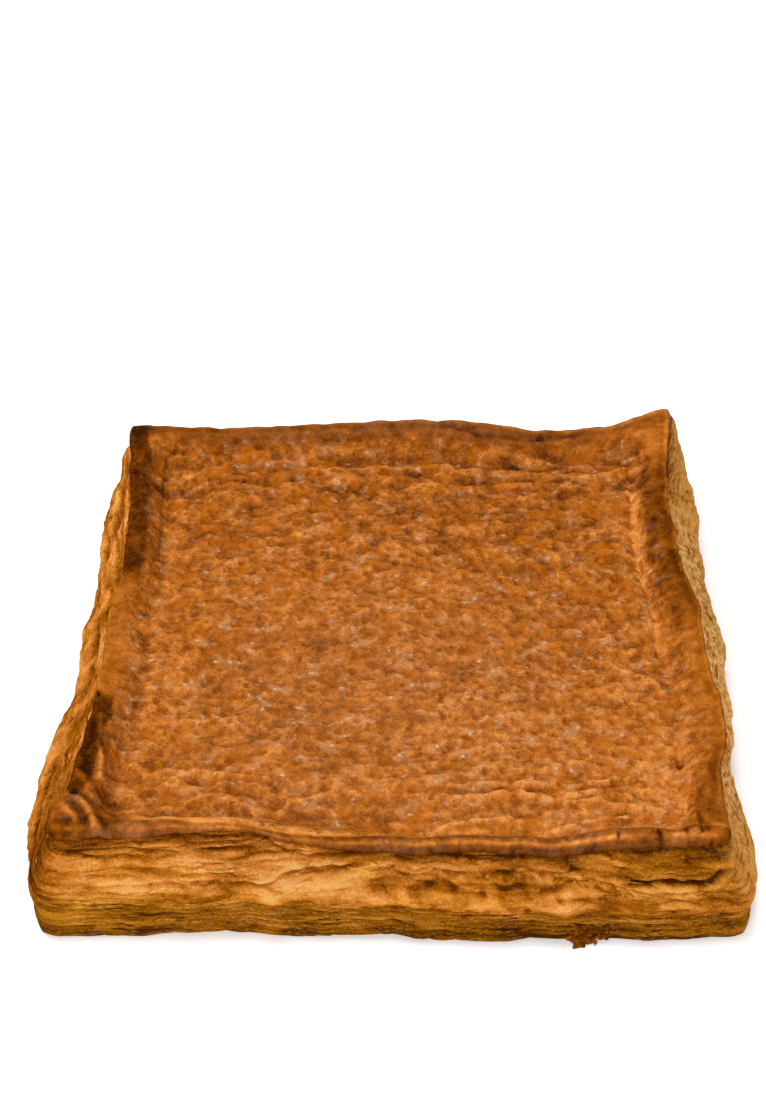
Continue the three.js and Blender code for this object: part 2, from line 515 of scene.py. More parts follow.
class NodeWriter:
    """Adds nodes to a tree, each with its settings and what feeds it."""

    def __init__(self, tree: bpy.types.NodeTree) -> None:
        """Starts in an emptied tree.

        Args:
            tree: The tree to write in.
        """
        self.tree = tree
        tree.nodes.clear()

    def add(self, kind: str, feeds: Feeds | None = None, **settings: object) -> bpy.types.Node:
        """Adds one node.

        Args:
            kind: The node's type.
            feeds: Sockets or plain values for its inputs, by name or number.
            settings: Values for its own properties.

        Returns:
            The node.
        """
        node = self.tree.nodes.new(kind)
        for key, value in settings.items():
            setattr(node, key, value)
        for key, value in (feeds or {}).items():
            if isinstance(value, Socket):
                self.tree.links.new(value, node.inputs[key])
            else:
                node.inputs[key].default_value = value
        return node

    def math(self, operation: str, *feeds: Feed) -> Socket:
        """Adds a math node and gives its result."""
        return self.add("ShaderNodeMath", dict(enumerate(feeds)), operation=operation).outputs[0]

    def product(self, *feeds: Feed) -> Socket:
        """Multiplies numbers."""
        return reduce(partial(self.math, "MULTIPLY"), feeds)

    def swayed(self, base: Feed, noise: Feed, gain: Feed) -> Socket:
        """Adds to a number how far noise strays from its middle, times a gain."""
        return self.math("MULTIPLY_ADD", self.math("SUBTRACT", noise, NOISE_MIDDLE), gain, base)

    def vector(self, operation: str, *feeds: Feed) -> Socket:
        """Adds a vector math node and gives its vector."""
        return self.add("ShaderNodeVectorMath", dict(enumerate(feeds)), operation=operation).outputs[0]

    def scaled(self, vector: Feed, factor: Feed) -> Socket:
        """Multiplies a vector by a number."""
        feeds = {"Vector": vector, "Scale": factor}
        return self.add("ShaderNodeVectorMath", feeds, operation="SCALE").outputs[0]

    def parts(self, vector: Feed) -> Sockets:
        """The three numbers of a vector."""
        return self.add("ShaderNodeSeparateXYZ", {"Vector": vector}).outputs

    def joined(self, x: Feed, y: Feed, z: Feed) -> Socket:
        """A vector of three numbers."""
        return self.add("ShaderNodeCombineXYZ", {"X": x, "Y": y, "Z": z}).outputs[0]

    def noise(self, place: Feed, scale: float, detail: float = 2.0, roughness: float = 0.5) -> Socket:
        """Adds noise about its middle and gives its number."""
        feeds = {"Vector": place, "Scale": scale, "Detail": detail, "Roughness": roughness}
        return self.add("ShaderNodeTexNoise", feeds).outputs[0]

    def stretched(self, place: Feed, fineness: Place, detail: float = 2.0, roughness: float = 0.5) -> Socket:
        """Adds noise with another fineness each way and gives its number."""
        return self.noise(self.vector("MULTIPLY", place, fineness), 1.0, detail, roughness)

    def stray(self, place: Feed, scale: float, detail: float, reach: Feed) -> Socket:
        """A vector about zero that noise gives at each place.

        Args:
            place: The places.
            scale: The noise's fineness.
            detail: The octaves in it.
            reach: How far the vector strays.

        Returns:
            The vector.
        """
        feeds = {"Vector": place, "Scale": scale, "Detail": detail}
        noise = self.add("ShaderNodeTexNoise", feeds).outputs["Color"]
        return self.scaled(self.vector("SUBTRACT", noise, (NOISE_MIDDLE,) * 3), reach)

    def ranged(self, value: Feed, low: Feed, high: Feed, start: Feed = 0.0, end: Feed = 1.0) -> Socket:
        """Maps a range onto another with soft ends, and clamps what lies outside."""
        feeds = {"Value": value, "From Min": low, "From Max": high, "To Min": start, "To Max": end}
        return self.add("ShaderNodeMapRange", feeds, interpolation_type="SMOOTHSTEP").outputs[0]

    def veiled(self, colour: Feed, veil: Veil, value: Feed, *shares: Feed, blend: str = "MIX") -> Socket:
        """Lays a veil over a colour.

        Args:
            colour: The colour beneath.
            veil: The veil.
            value: The number that brings it out.
            shares: Numbers that weaken it.
            blend: How it is laid.

        Returns:
            The colour.
        """
        covered = self.ranged(value, veil.low, veil.high, 0.0, veil.share)
        return self.tinted(colour, veil.colour, self.product(covered, *shares), blend)

    def tinted(self, colour: Feed, tint: Colour, share: Feed, blend: str = "MIX") -> Socket:
        """Mixes a share of a tint into a colour."""
        feeds = {0: share, 6: colour, 7: (*tint, 1.0)}
        return self.add("ShaderNodeMix", feeds, data_type="RGBA", blend_type=blend).outputs[2]

    def shade(self, value: Feed, stops: Shades) -> Socket:
        """Reads a colour from a ramp.

        Args:
            value: Where to read it, from 0 to 1.
            stops: The ramp's places and colours.

        Returns:
            The colour.
        """
        node = self.add("ShaderNodeValToRGB", {"Fac": value})
        ramp = node.color_ramp
        for _ in range(len(stops) - 2):
            ramp.elements.new(0.5)
        for element, (place, colour) in zip(ramp.elements, stops):
            element.position = place
            element.color = (*colour, 1.0)
        return node.outputs[0]

    def bumped(self, height: Feed, strength: float, distance: Feed) -> Socket:
        """The normal of a bumpy surface."""
        feeds = {"Height": height, "Strength": strength, "Distance": distance}
        return self.add("ShaderNodeBump", feeds).outputs[0]

    def attribute(self, name: str) -> Socket:
        """Reads a number that the mesh holds for each vertex, in a material."""
        return self.add("ShaderNodeAttribute", attribute_name=name).outputs["Fac"]

    def held(self, name: str) -> Socket:
        """Reads a number that the mesh holds for each vertex, in a geometry tree."""
        return self.add("GeometryNodeInputNamedAttribute", {"Name": name}, data_type="FLOAT").outputs[0]

    def position(self) -> Socket:
        """Reads places, in a geometry tree."""
        return self.add("GeometryNodeInputPosition").outputs[0]

    def moved(self, geometry: Socket, **places: Socket) -> Socket:
        """Moves geometry to a Position or by an Offset."""
        return self.add("GeometryNodeSetPosition", {"Geometry": geometry} | places).outputs[0]

    def stored(self, geometry: Socket, name: str, value: Socket, domain: str) -> Socket:
        """Stores a number in geometry."""
        feeds = {"Geometry": geometry, "Name": name, "Value": value}
        return self.add("GeometryNodeStoreNamedAttribute", feeds, data_type="FLOAT", domain=domain).outputs[0]

    def lot(self, low: float | Place, high: float | Place, seed: Socket, step: float = 0.0) -> Socket:
        """Draws numbers or vectors by lot.

        Args:
            low: The least, as a number or a vector.
            high: The most.
            seed: What fixes the draw.
            step: What is added to the seed.

        Returns:
            The draws.
        """
        seed = self.math("ADD", seed, step) if step else seed
        vectors = isinstance(low, tuple)
        first = 0 if vectors else 2
        feeds = {first: low, first + 1: high, "Seed": seed}
        kind = "FLOAT_VECTOR" if vectors else "FLOAT"
        return self.add("FunctionNodeRandomValue", feeds, data_type=kind).outputs[0 if vectors else 1]


@dataclass(frozen=True)
class Finish:
    """A finish by its name. Each kind says what feeds its shader."""

    name: str

    def surface(self, write: NodeWriter, place: Socket) -> Feeds:
        """What feeds the shader at places on the piece, by its inputs' names."""
        raise NotImplementedError

    def material(self) -> Material:
        """Builds the finish.

        Returns:
            The material.
        """
        material = bpy.data.materials.new(self.name)
        material.use_nodes = True
        write = NodeWriter(material.node_tree)
        place = write.add("ShaderNodeTexCoord").outputs["Object"]
        shader = write.add("ShaderNodeBsdfPrincipled", self.surface(write, place))
        write.add("ShaderNodeOutputMaterial", {"Surface": shader.outputs[0]})
        return material


@dataclass(frozen=True)
class EggWashedCrust(Finish):
    """The lid's finish: browned dough under a thin baked egg wash that glints on small bumps.

    Painted light lies in the colour: a pale painted sheen over the panel's middle and the rear rim, soft
    patches of painted sheen, and painted highlights on the blister tops. A scale is a noise's fineness, and a
    gain is how much it browns. Of a spread, the first number holds on the rim or at the sides, and the second
    on the panel or in its middle.
    """

    name: str = "egg_washed_crust"
    shades: Shades = (
        (0.0, (0.72, 0.275, 0.060)),
        (0.25, (0.50, 0.152, 0.018)),
        (0.5, (0.29, 0.077, 0.005)),
        (0.8, (0.110, 0.026, 0.001)),
        (1.0, (0.034, 0.008, 0.001)),
    )
    painted_sheen: Colour = (0.66, 0.30, 0.16)
    painted_sheen_share: float = 0.09
    amber: Veil = Veil((0.45, 0.113, 0.003), 0.47, 0.62, 0.65)
    amber_scale: float = 95.0
    amber_spread: Span = (1.0, 0.35)
    stain: Veil = Veil((0.19, 0.048, 0.004), 0.53, 0.66, 0.75)
    stain_scale: float = 210.0
    stain_shift: Place = (0.3, 0.1, 0.0)
    sheen_patch: Veil = Veil((0.68, 0.30, 0.11), 0.5, 0.66, 0.45)
    sheen_patch_scale: float = 140.0
    sheen_patch_stretch: Place = (0.7, 1.0, 0.2)
    sheen_blister_spread: Span = (0.5, 1.0)
    painted_glint: Colour = (0.86, 0.50, 0.27)
    painted_glint_share: float = 0.75
    pit: Colour = (0.31, 0.066, 0.002)
    pit_share: float = 0.85
    speck: Veil = Veil((0.07, 0.016, 0.001), 0.5, 0.6, 0.85)
    speck_scale: float = 210.0
    speck_radius: Span = (0.05, 0.1)
    blotch_scale: float = 55.0
    blotch_gain: float = 0.75
    mottle_scale: float = 260.0
    mottle_gain: float = -0.9
    skin_scale: float = 900.0
    skin_gain: float = 0.8
    skin_relief: float = 0.28
    calm_spread: Span = (0.6, 1.0)
    blister_scale: float = 230.0
    blister_stretch: Place = (0.85, 1.0, 1.0)
    blister_radius: float = 0.38
    blister_relief: float = 0.42
    blister_lot: Span = (0.2, 0.6)
    blister_noise_range: Span = (0.5, 0.6)
    warp_scale: float = 190.0
    warp_reach: float = 0.004
    tear: float = 1.2
    tear_scale: float = 520.0
    relief_depth: Span = (0.0013, 0.0018)
    roughness: Span = (0.32, 0.14)
    glint: float = 0.03
    glint_scale: float = 170.0
    glint_range: Span = (0.48, 0.58)
    glint_tint: Colour = (1.0, 0.74, 0.52)
    bead: float = 0.3
    bead_range: Span = (0.02, 0.3)

    def surface(self, write: NodeWriter, place: Socket) -> Feeds:
        """Lays the egg wash, pits and specks over the browned dough.

        Args:
            write: The writer of the finish's tree.
            place: Places on the lid.

        Returns:
            The shader's inputs.
        """
        panel = write.attribute("panel")
        middle = write.attribute("painted_sheen")
        blotch = write.noise(place, self.blotch_scale, 5.0, 0.6)
        mottle = write.noise(place, self.mottle_scale, 3.0)
        skin = write.noise(place, self.skin_scale, 3.0, 0.6)
        ambered = write.noise(place, self.amber_scale, 4.0, 0.6)
        stained = write.noise(write.vector("ADD", place, self.stain_shift), self.stain_scale, 5.0, 0.65)
        # Noise that places the patches of painted sheen; blisters show where it is high.
        sheen_blister_noise = write.noise(write.vector("MULTIPLY", place, self.sheen_patch_stretch), self.sheen_patch_scale, 5.0, 0.6)
        dots = write.add("ShaderNodeTexVoronoi", {"Vector": place, "Scale": self.speck_scale})
        calm = write.ranged(panel, 0.0, 1.0, *self.calm_spread)
        # How strongly the painted sheen patches and the blisters show, more in the panel's middle.
        sheen_blister_weight = write.ranged(middle, 0.1, 0.8, *self.sheen_blister_spread)
        blister = write.product(self.blisters(write, place, sheen_blister_noise), panel, sheen_blister_weight)
        varied = write.swayed(0.0, blotch, self.blotch_gain)
        varied = write.swayed(varied, mottle, self.mottle_gain)
        varied = write.swayed(varied, skin, self.skin_gain)
        colour = write.shade(write.math("MULTIPLY_ADD", varied, calm, write.attribute("toast")), self.shades)
        # Painted sheen: a pale pink tint over the panel's middle and patches of the rear rim.
        colour = write.tinted(colour, self.painted_sheen, write.product(middle, self.painted_sheen_share))
        spread = write.ranged(middle, 0.2, 1.0, *self.amber_spread)
        colour = write.veiled(colour, self.amber, ambered, spread, write.ranged(panel, 0.5, 1.0))
        colour = write.veiled(colour, self.stain, stained, calm)
        # Painted sheen: soft pale patches over the panel.
        colour = write.veiled(colour, self.sheen_patch, sheen_blister_noise, sheen_blister_weight, panel)
        # Painted highlight: pale colour on the tops of the blisters.
        colour = write.tinted(colour, self.painted_glint, write.product(blister, self.painted_glint_share))
        colour = write.tinted(colour, self.pit, write.product(write.attribute("pit"), self.pit_share))
        round_dots = write.ranged(dots.outputs["Distance"], *self.speck_radius, 1.0, 0.0)
        colour = write.veiled(colour, self.speck, blotch, round_dots)
        relief = write.math("MULTIPLY_ADD", skin, self.skin_relief, mottle)
        relief = write.math("MULTIPLY_ADD", blister, self.blister_relief, relief)
        wet = write.ranged(write.noise(place, self.glint_scale), *self.glint_range, 0.0, self.glint)
        beads = write.ranged(blister, *self.bead_range, 0.0, self.bead)
        shine = write.product(write.math("MAXIMUM", wet, beads), panel)
        return {
            "Base Color": colour,
            "Roughness": write.ranged(panel, 0.0, 1.0, *self.roughness),
            "Specular IOR Level": write.math("MAXIMUM", shine, write.attribute("gloss")),
            "Specular Tint": (*self.glint_tint, 1.0),
            "Normal": write.bumped(relief, 1.0, write.ranged(panel, 0.0, 1.0, *self.relief_depth)),
        }

    def blisters(self, write: NodeWriter, place: Socket, sheen_blister_noise: Socket) -> Socket:
        """Small blisters with torn edges strewn over the lid.

        Args:
            write: The writer of the finish's tree.
            place: Places on the lid.
            sheen_blister_noise: Noise that places the painted sheen patches and the blisters.

        Returns:
            Their height, from 0 to 1.
        """
        bent = write.vector("ADD", place, write.stray(place, self.warp_scale, 2.0, self.warp_reach))
        drawn = write.vector("MULTIPLY", bent, self.blister_stretch)
        feeds = {"Vector": drawn, "Scale": self.blister_scale}
        cells = write.add("ShaderNodeTexVoronoi", feeds, voronoi_dimensions="2D").outputs
        away = write.swayed(cells["Distance"], write.noise(place, self.tear_scale, 4.0, 0.65), self.tear)
        dome = write.ranged(away, 0.0, self.blister_radius, 1.0, 0.0)
        chosen = write.ranged(write.parts(cells["Color"])["X"], *self.blister_lot)
        return write.product(dome, chosen, write.ranged(sheen_blister_noise, *self.blister_noise_range))


@dataclass(frozen=True)
class FlakyDough(Finish):
    """The wall's finish: dry leaves of dough with short pale and dark dashes along them.

    A fineness is a noise's, each way, and a gain is how much it browns.
    """

    name: str = "flaky_dough"
    shades: Shades = (
        (0.0, (0.76, 0.37, 0.11)),
        (0.3, (0.60, 0.207, 0.034)),
        (0.6, (0.32, 0.092, 0.005)),
        (0.85, (0.165, 0.043, 0.002)),
        (1.0, (0.075, 0.018, 0.001)),
    )
    golden: Veil = Veil((1.0, 1.0, 0.72), 0.46, 0.62)
    olive: Colour = (0.95, 1.10, 0.75)
    cream: Veil = Veil((0.78, 0.42, 0.12), 0.57, 0.68, 0.35)
    bare: Veil = Veil((0.98, 0.57, 0.20), 0.44, 0.57, 0.85)
    band_fineness: Place = (34.0, 34.0, 0.17)
    dash_fineness: Place = (230.0, 230.0, 0.95)
    leaf_fineness: Place = (62.0, 62.0, 0.46)
    break_fineness: Place = (70.0, 70.0, 0.3)
    patch_fineness: Place = (22.0, 22.0, 0.13)
    pore_scale: float = 950.0
    crumb_scale: float = 330.0
    band_gain: float = 0.9
    dash_gain: Span = (0.4, 0.6)
    pore_gain: float = 0.75
    gap_gain: float = 0.22
    edge_gain: float = -0.2
    gap_level: float = 0.5
    edge_level: float = 0.57
    line_width: float = 0.05
    pore_relief: float = 0.7
    edge_relief: float = 0.25

    def surface(self, write: NodeWriter, place: Socket) -> Feeds:
        """Draws the leaves along the wall's flow.

        Args:
            write: The writer of the finish's tree.
            place: Places on the wall.

        Returns:
            The shader's inputs.
        """
        parts = write.parts(place)
        wrapped = write.joined(parts["X"], parts["Y"], write.attribute("flow"))
        flaky = write.attribute("flaky")
        band = write.stretched(wrapped, self.band_fineness, 3.0, 0.55)
        dash = write.stretched(wrapped, self.dash_fineness, 3.0, 0.6)
        leaf = write.stretched(wrapped, self.leaf_fineness)
        patch = write.stretched(wrapped, self.patch_fineness)
        broken = write.stretched(wrapped, self.break_fineness, 1.0)
        pore = write.noise(place, self.pore_scale, 3.0, 0.6)
        crumb = write.noise(place, self.crumb_scale, 4.0, 0.65)
        leafy = write.product(write.ranged(flaky, 0.0, 0.4, 0.2, 1.0), write.ranged(broken, 0.44, 0.6))
        gap = write.product(self.line(write, leaf, self.gap_level), leafy)
        edge = write.product(self.line(write, leaf, self.edge_level), leafy)
        browned = write.swayed(write.attribute("toast"), band, self.band_gain)
        browned = write.swayed(browned, dash, write.ranged(flaky, 0.0, 1.0, *self.dash_gain))
        browned = write.swayed(browned, pore, self.pore_gain)
        browned = write.math("MULTIPLY_ADD", gap, self.gap_gain, browned)
        browned = write.math("MULTIPLY_ADD", edge, self.edge_gain, browned)
        colour = write.shade(browned, self.shades)
        colour = write.veiled(colour, self.golden, patch, blend="MULTIPLY")
        colour = write.tinted(colour, self.olive, write.attribute("olive"), "MULTIPLY")
        colour = write.veiled(colour, self.cream, dash, flaky)
        colour = write.veiled(colour, self.bare, crumb, write.attribute("creamy"))
        relief = write.math("MULTIPLY_ADD", pore, self.pore_relief, dash)
        relief = write.math("MULTIPLY_ADD", write.math("SUBTRACT", edge, gap), self.edge_relief, relief)
        return {
            "Base Color": colour,
            "Roughness": 0.6,
            "Specular IOR Level": 0.0,
            "Normal": write.bumped(relief, 0.8, 0.0012),
        }

    def line(self, write: NodeWriter, leaf: Socket, level: float) -> Socket:
        """Is 1 where the leaf noise is near a level, which draws a line, and 0 elsewhere."""
        away = write.math("ABSOLUTE", write.math("SUBTRACT", leaf, level))
        return write.ranged(away, 0.0, self.line_width, 1.0, 0.0)


@dataclass(frozen=True)
class FlakeFinish(Finish):
    """The finish of loose flakes and crumbs: thin dry dough, each toasted a little differently."""

    shades: Shades
    grain_scale: float = 500.0
    grain_gain: float = 0.5

    def surface(self, write: NodeWriter, place: Socket) -> Feeds:
        """Grains the dough.

        Args:
            write: The writer of the finish's tree.
            place: Places on the flakes.

        Returns:
            The shader's inputs.
        """
        grain = write.noise(place, self.grain_scale, 3.0, 0.6)
        toast = write.swayed(write.attribute("toast"), grain, self.grain_gain)
        return {
            "Base Color": write.shade(toast, self.shades),
            "Roughness": 0.7,
            "Specular IOR Level": 0.0,
            "Normal": write.bumped(grain, 0.4, 0.0004),
        }


@dataclass(frozen=True)
class PaleFloor(Finish):
    """The floor's finish: plain and pale, with a glow that grows away from the pie, in metres."""

    name: str = "pale_floor"
    colour: Colour = (0.95, 0.95, 0.95)
    reach: Span = (0.15, 0.6)
    glow: Span = (0.24, 1.0)

    def surface(self, write: NodeWriter, place: Socket) -> Feeds:
        """Lets the floor glow.

        Args:
            write: The writer of the finish's tree.
            place: Places on the floor.

        Returns:
            The shader's inputs.
        """
        far = write.add("ShaderNodeVectorMath", {"Vector": place}, operation="LENGTH").outputs["Value"]
        return {
            "Base Color": (*self.colour, 1.0),
            "Roughness": 0.8,
            "Specular IOR Level": 0.0,
            "Emission Color": WHITE,
            "Emission Strength": write.ranged(far, *self.reach, *self.glow),
        }


@dataclass
class NodeShape:
    """A geometry tree with named inputs, run once on a carrier mesh and then made plain."""

    KINDS = {float: "NodeSocketFloat", int: "NodeSocketInt"}

    name: str
    values: dict[str, float | int | Material]

    def __post_init__(self) -> None:
        """Makes the tree and its inputs."""
        self.tree = bpy.data.node_groups.new(self.name, "GeometryNodeTree")
        sockets = self.tree.interface
        sockets.new_socket("Geometry", in_out="INPUT", socket_type="NodeSocketGeometry")
        for label, value in self.values.items():
            kind = self.KINDS.get(type(value), "NodeSocketMaterial")
            sockets.new_socket(label, in_out="INPUT", socket_type=kind)
        sockets.new_socket("Geometry", in_out="OUTPUT", socket_type="NodeSocketGeometry")
        self.write = NodeWriter(self.tree)
        self.given = self.write.add("NodeGroupInput").outputs

    def points(self) -> Sockets:
        """Points by lot on the carrier, as many as each part of it bears, and the way out at each.

        Returns:
            The outputs of the node that scatters them.
        """
        given = self.given
        density = self.write.product(given["Density"], self.write.held("bears"))
        feeds = {"Mesh": given["Geometry"], "Density": density, "Seed": given["Seed"]}
        return self.write.add("GeometryNodeDistributePointsOnFaces", feeds).outputs

    def strewn(self, things: Feeds, toast: Socket, scale: float, detail: float) -> Socket:
        """Sets things on points, browned by lot, and makes their shapes uneven.

        Args:
            things: The points, the thing, and its turn and size at each.
            toast: How browned each is.
            scale: The fineness of the unevenness.
            detail: The octaves in it.

        Returns:
            The things, made real.
        """
        write = self.write
        strewn = write.add("GeometryNodeInstanceOnPoints", things).outputs[0]
        browned = write.stored(strewn, "toast", toast, "INSTANCE")
        real = write.add("GeometryNodeRealizeInstances", {"Geometry": browned}).outputs[0]
        shove = write.stray(write.position(), scale, detail, self.given["Unevenness"])
        return write.moved(real, Offset=shove)

    def run(self, geometry: Socket, carrier: Piece, name: str) -> Piece:
        """Ends the tree, runs it on a carrier and leaves a plain mesh in its place.

        Args:
            geometry: What the tree made.
            carrier: The object that the tree works on, which is removed.
            name: The name of the piece that it makes.

        Returns:
            The piece.
        """
        real = self.write.add("GeometryNodeRealizeInstances", {"Geometry": geometry}).outputs[0]
        feeds = {"Geometry": real, "Material": self.given["Finish"]}
        dressed = self.write.add("GeometryNodeSetMaterial", feeds).outputs[0]
        self.write.add("NodeGroupOutput", {"Geometry": dressed})
        modifier = carrier.modifiers.new(self.name, "NODES")
        modifier.node_group = self.tree
        for item in self.tree.interface.items_tree:
            if item.in_out == "INPUT" and item.name in self.values:
                modifier[item.identifier] = self.values[item.name]
        graph = bpy.context.evaluated_depsgraph_get()
        mesh = bpy.data.meshes.new_from_object(carrier.evaluated_get(graph))
        bpy.data.objects.remove(carrier)
        mesh.name = name
        mesh.polygons.foreach_set("use_smooth", np.ones(len(mesh.polygons), bool))
        piece = bpy.data.objects.new(name, mesh)
        bpy.context.scene.collection.objects.link(piece)
        return piece


@dataclass(frozen=True)
class Pleat:
    """A fold of the lid along a line in plan: by the line's points, half-width, height and browning, which is
    partly painted light.
    """

    points: tuple[tuple[float, float], ...]
    half: float
    height: float
    toast: float = 0.0

    def share(self, x: Array, y: Array) -> Array:
        """How near places lie to the line.

        Args:
            x: Places across.
            y: Places in depth.

        Returns:
            Shares from 0 to 1.
        """
        nearest = np.full(x.shape, np.inf)
        for (ax, ay), (bx, by) in zip(self.points, self.points[1:]):
            length = (bx - ax) ** 2 + (by - ay) ** 2
            along = np.clip(((x - ax) * (bx - ax) + (y - ay) * (by - ay)) / length, 0, 1)
            nearest = np.minimum(nearest, np.hypot(x - ax - along * (bx - ax), y - ay - along * (by - ay)))
        return bell(nearest, 0, self.half)


@dataclass(frozen=True)
class Hole:
    """A small burst blister on the lid, by its place, radius and depth."""

    x: float
    y: float
    radius: float
    depth: float


@dataclass(frozen=True)
class LidPlaces:
    """Points of the lid: in plan, from its edges, inwards round the rim, on the panel; the lip's radius."""

    x: Array
    y: Array
    front: Array
    right: Array
    rear: Array
    left: Array
    edge: Array
    inward: Array
    panel: Array
    roll: Array

    @property
    def rim(self) -> Array:
        """How far the points lie on the rim."""
        return 1 - self.panel

    @property
    def side_edge(self) -> Array:
        """How far the points lie from the left or the right edge, whichever is nearer."""
        return np.minimum(self.left, self.right)


@dataclass(frozen=True)
class Stretch:
    """A browned stretch of the lid along its left or right edge.

    It lies between two distances from the edge and two places in depth, each pair with its softness. Its
    border is ragged by a share, and its browning may be patchy.
    """

    side: Side
    inward: tuple[float, float, float]
    deep: tuple[float, float, float]
    toast: float
    ragged: float = 0.0
    patchy: bool = False

    def browning(self, at: LidPlaces, ragged: Array, patchy: Array) -> Array:
        """How much the stretch browns the lid.

        Args:
            at: Where the points lie.
            ragged: How far borders are shifted there.
            patchy: How much stronger patchy browning is there.

        Returns:
            The browning.
        """
        edge = at.left if self.side == Side.LEFT else at.right
        share = window(edge + self.ragged * ragged, *self.inward) * window(at.y, *self.deep)
        return self.toast * share * (patchy if self.patchy else 1)


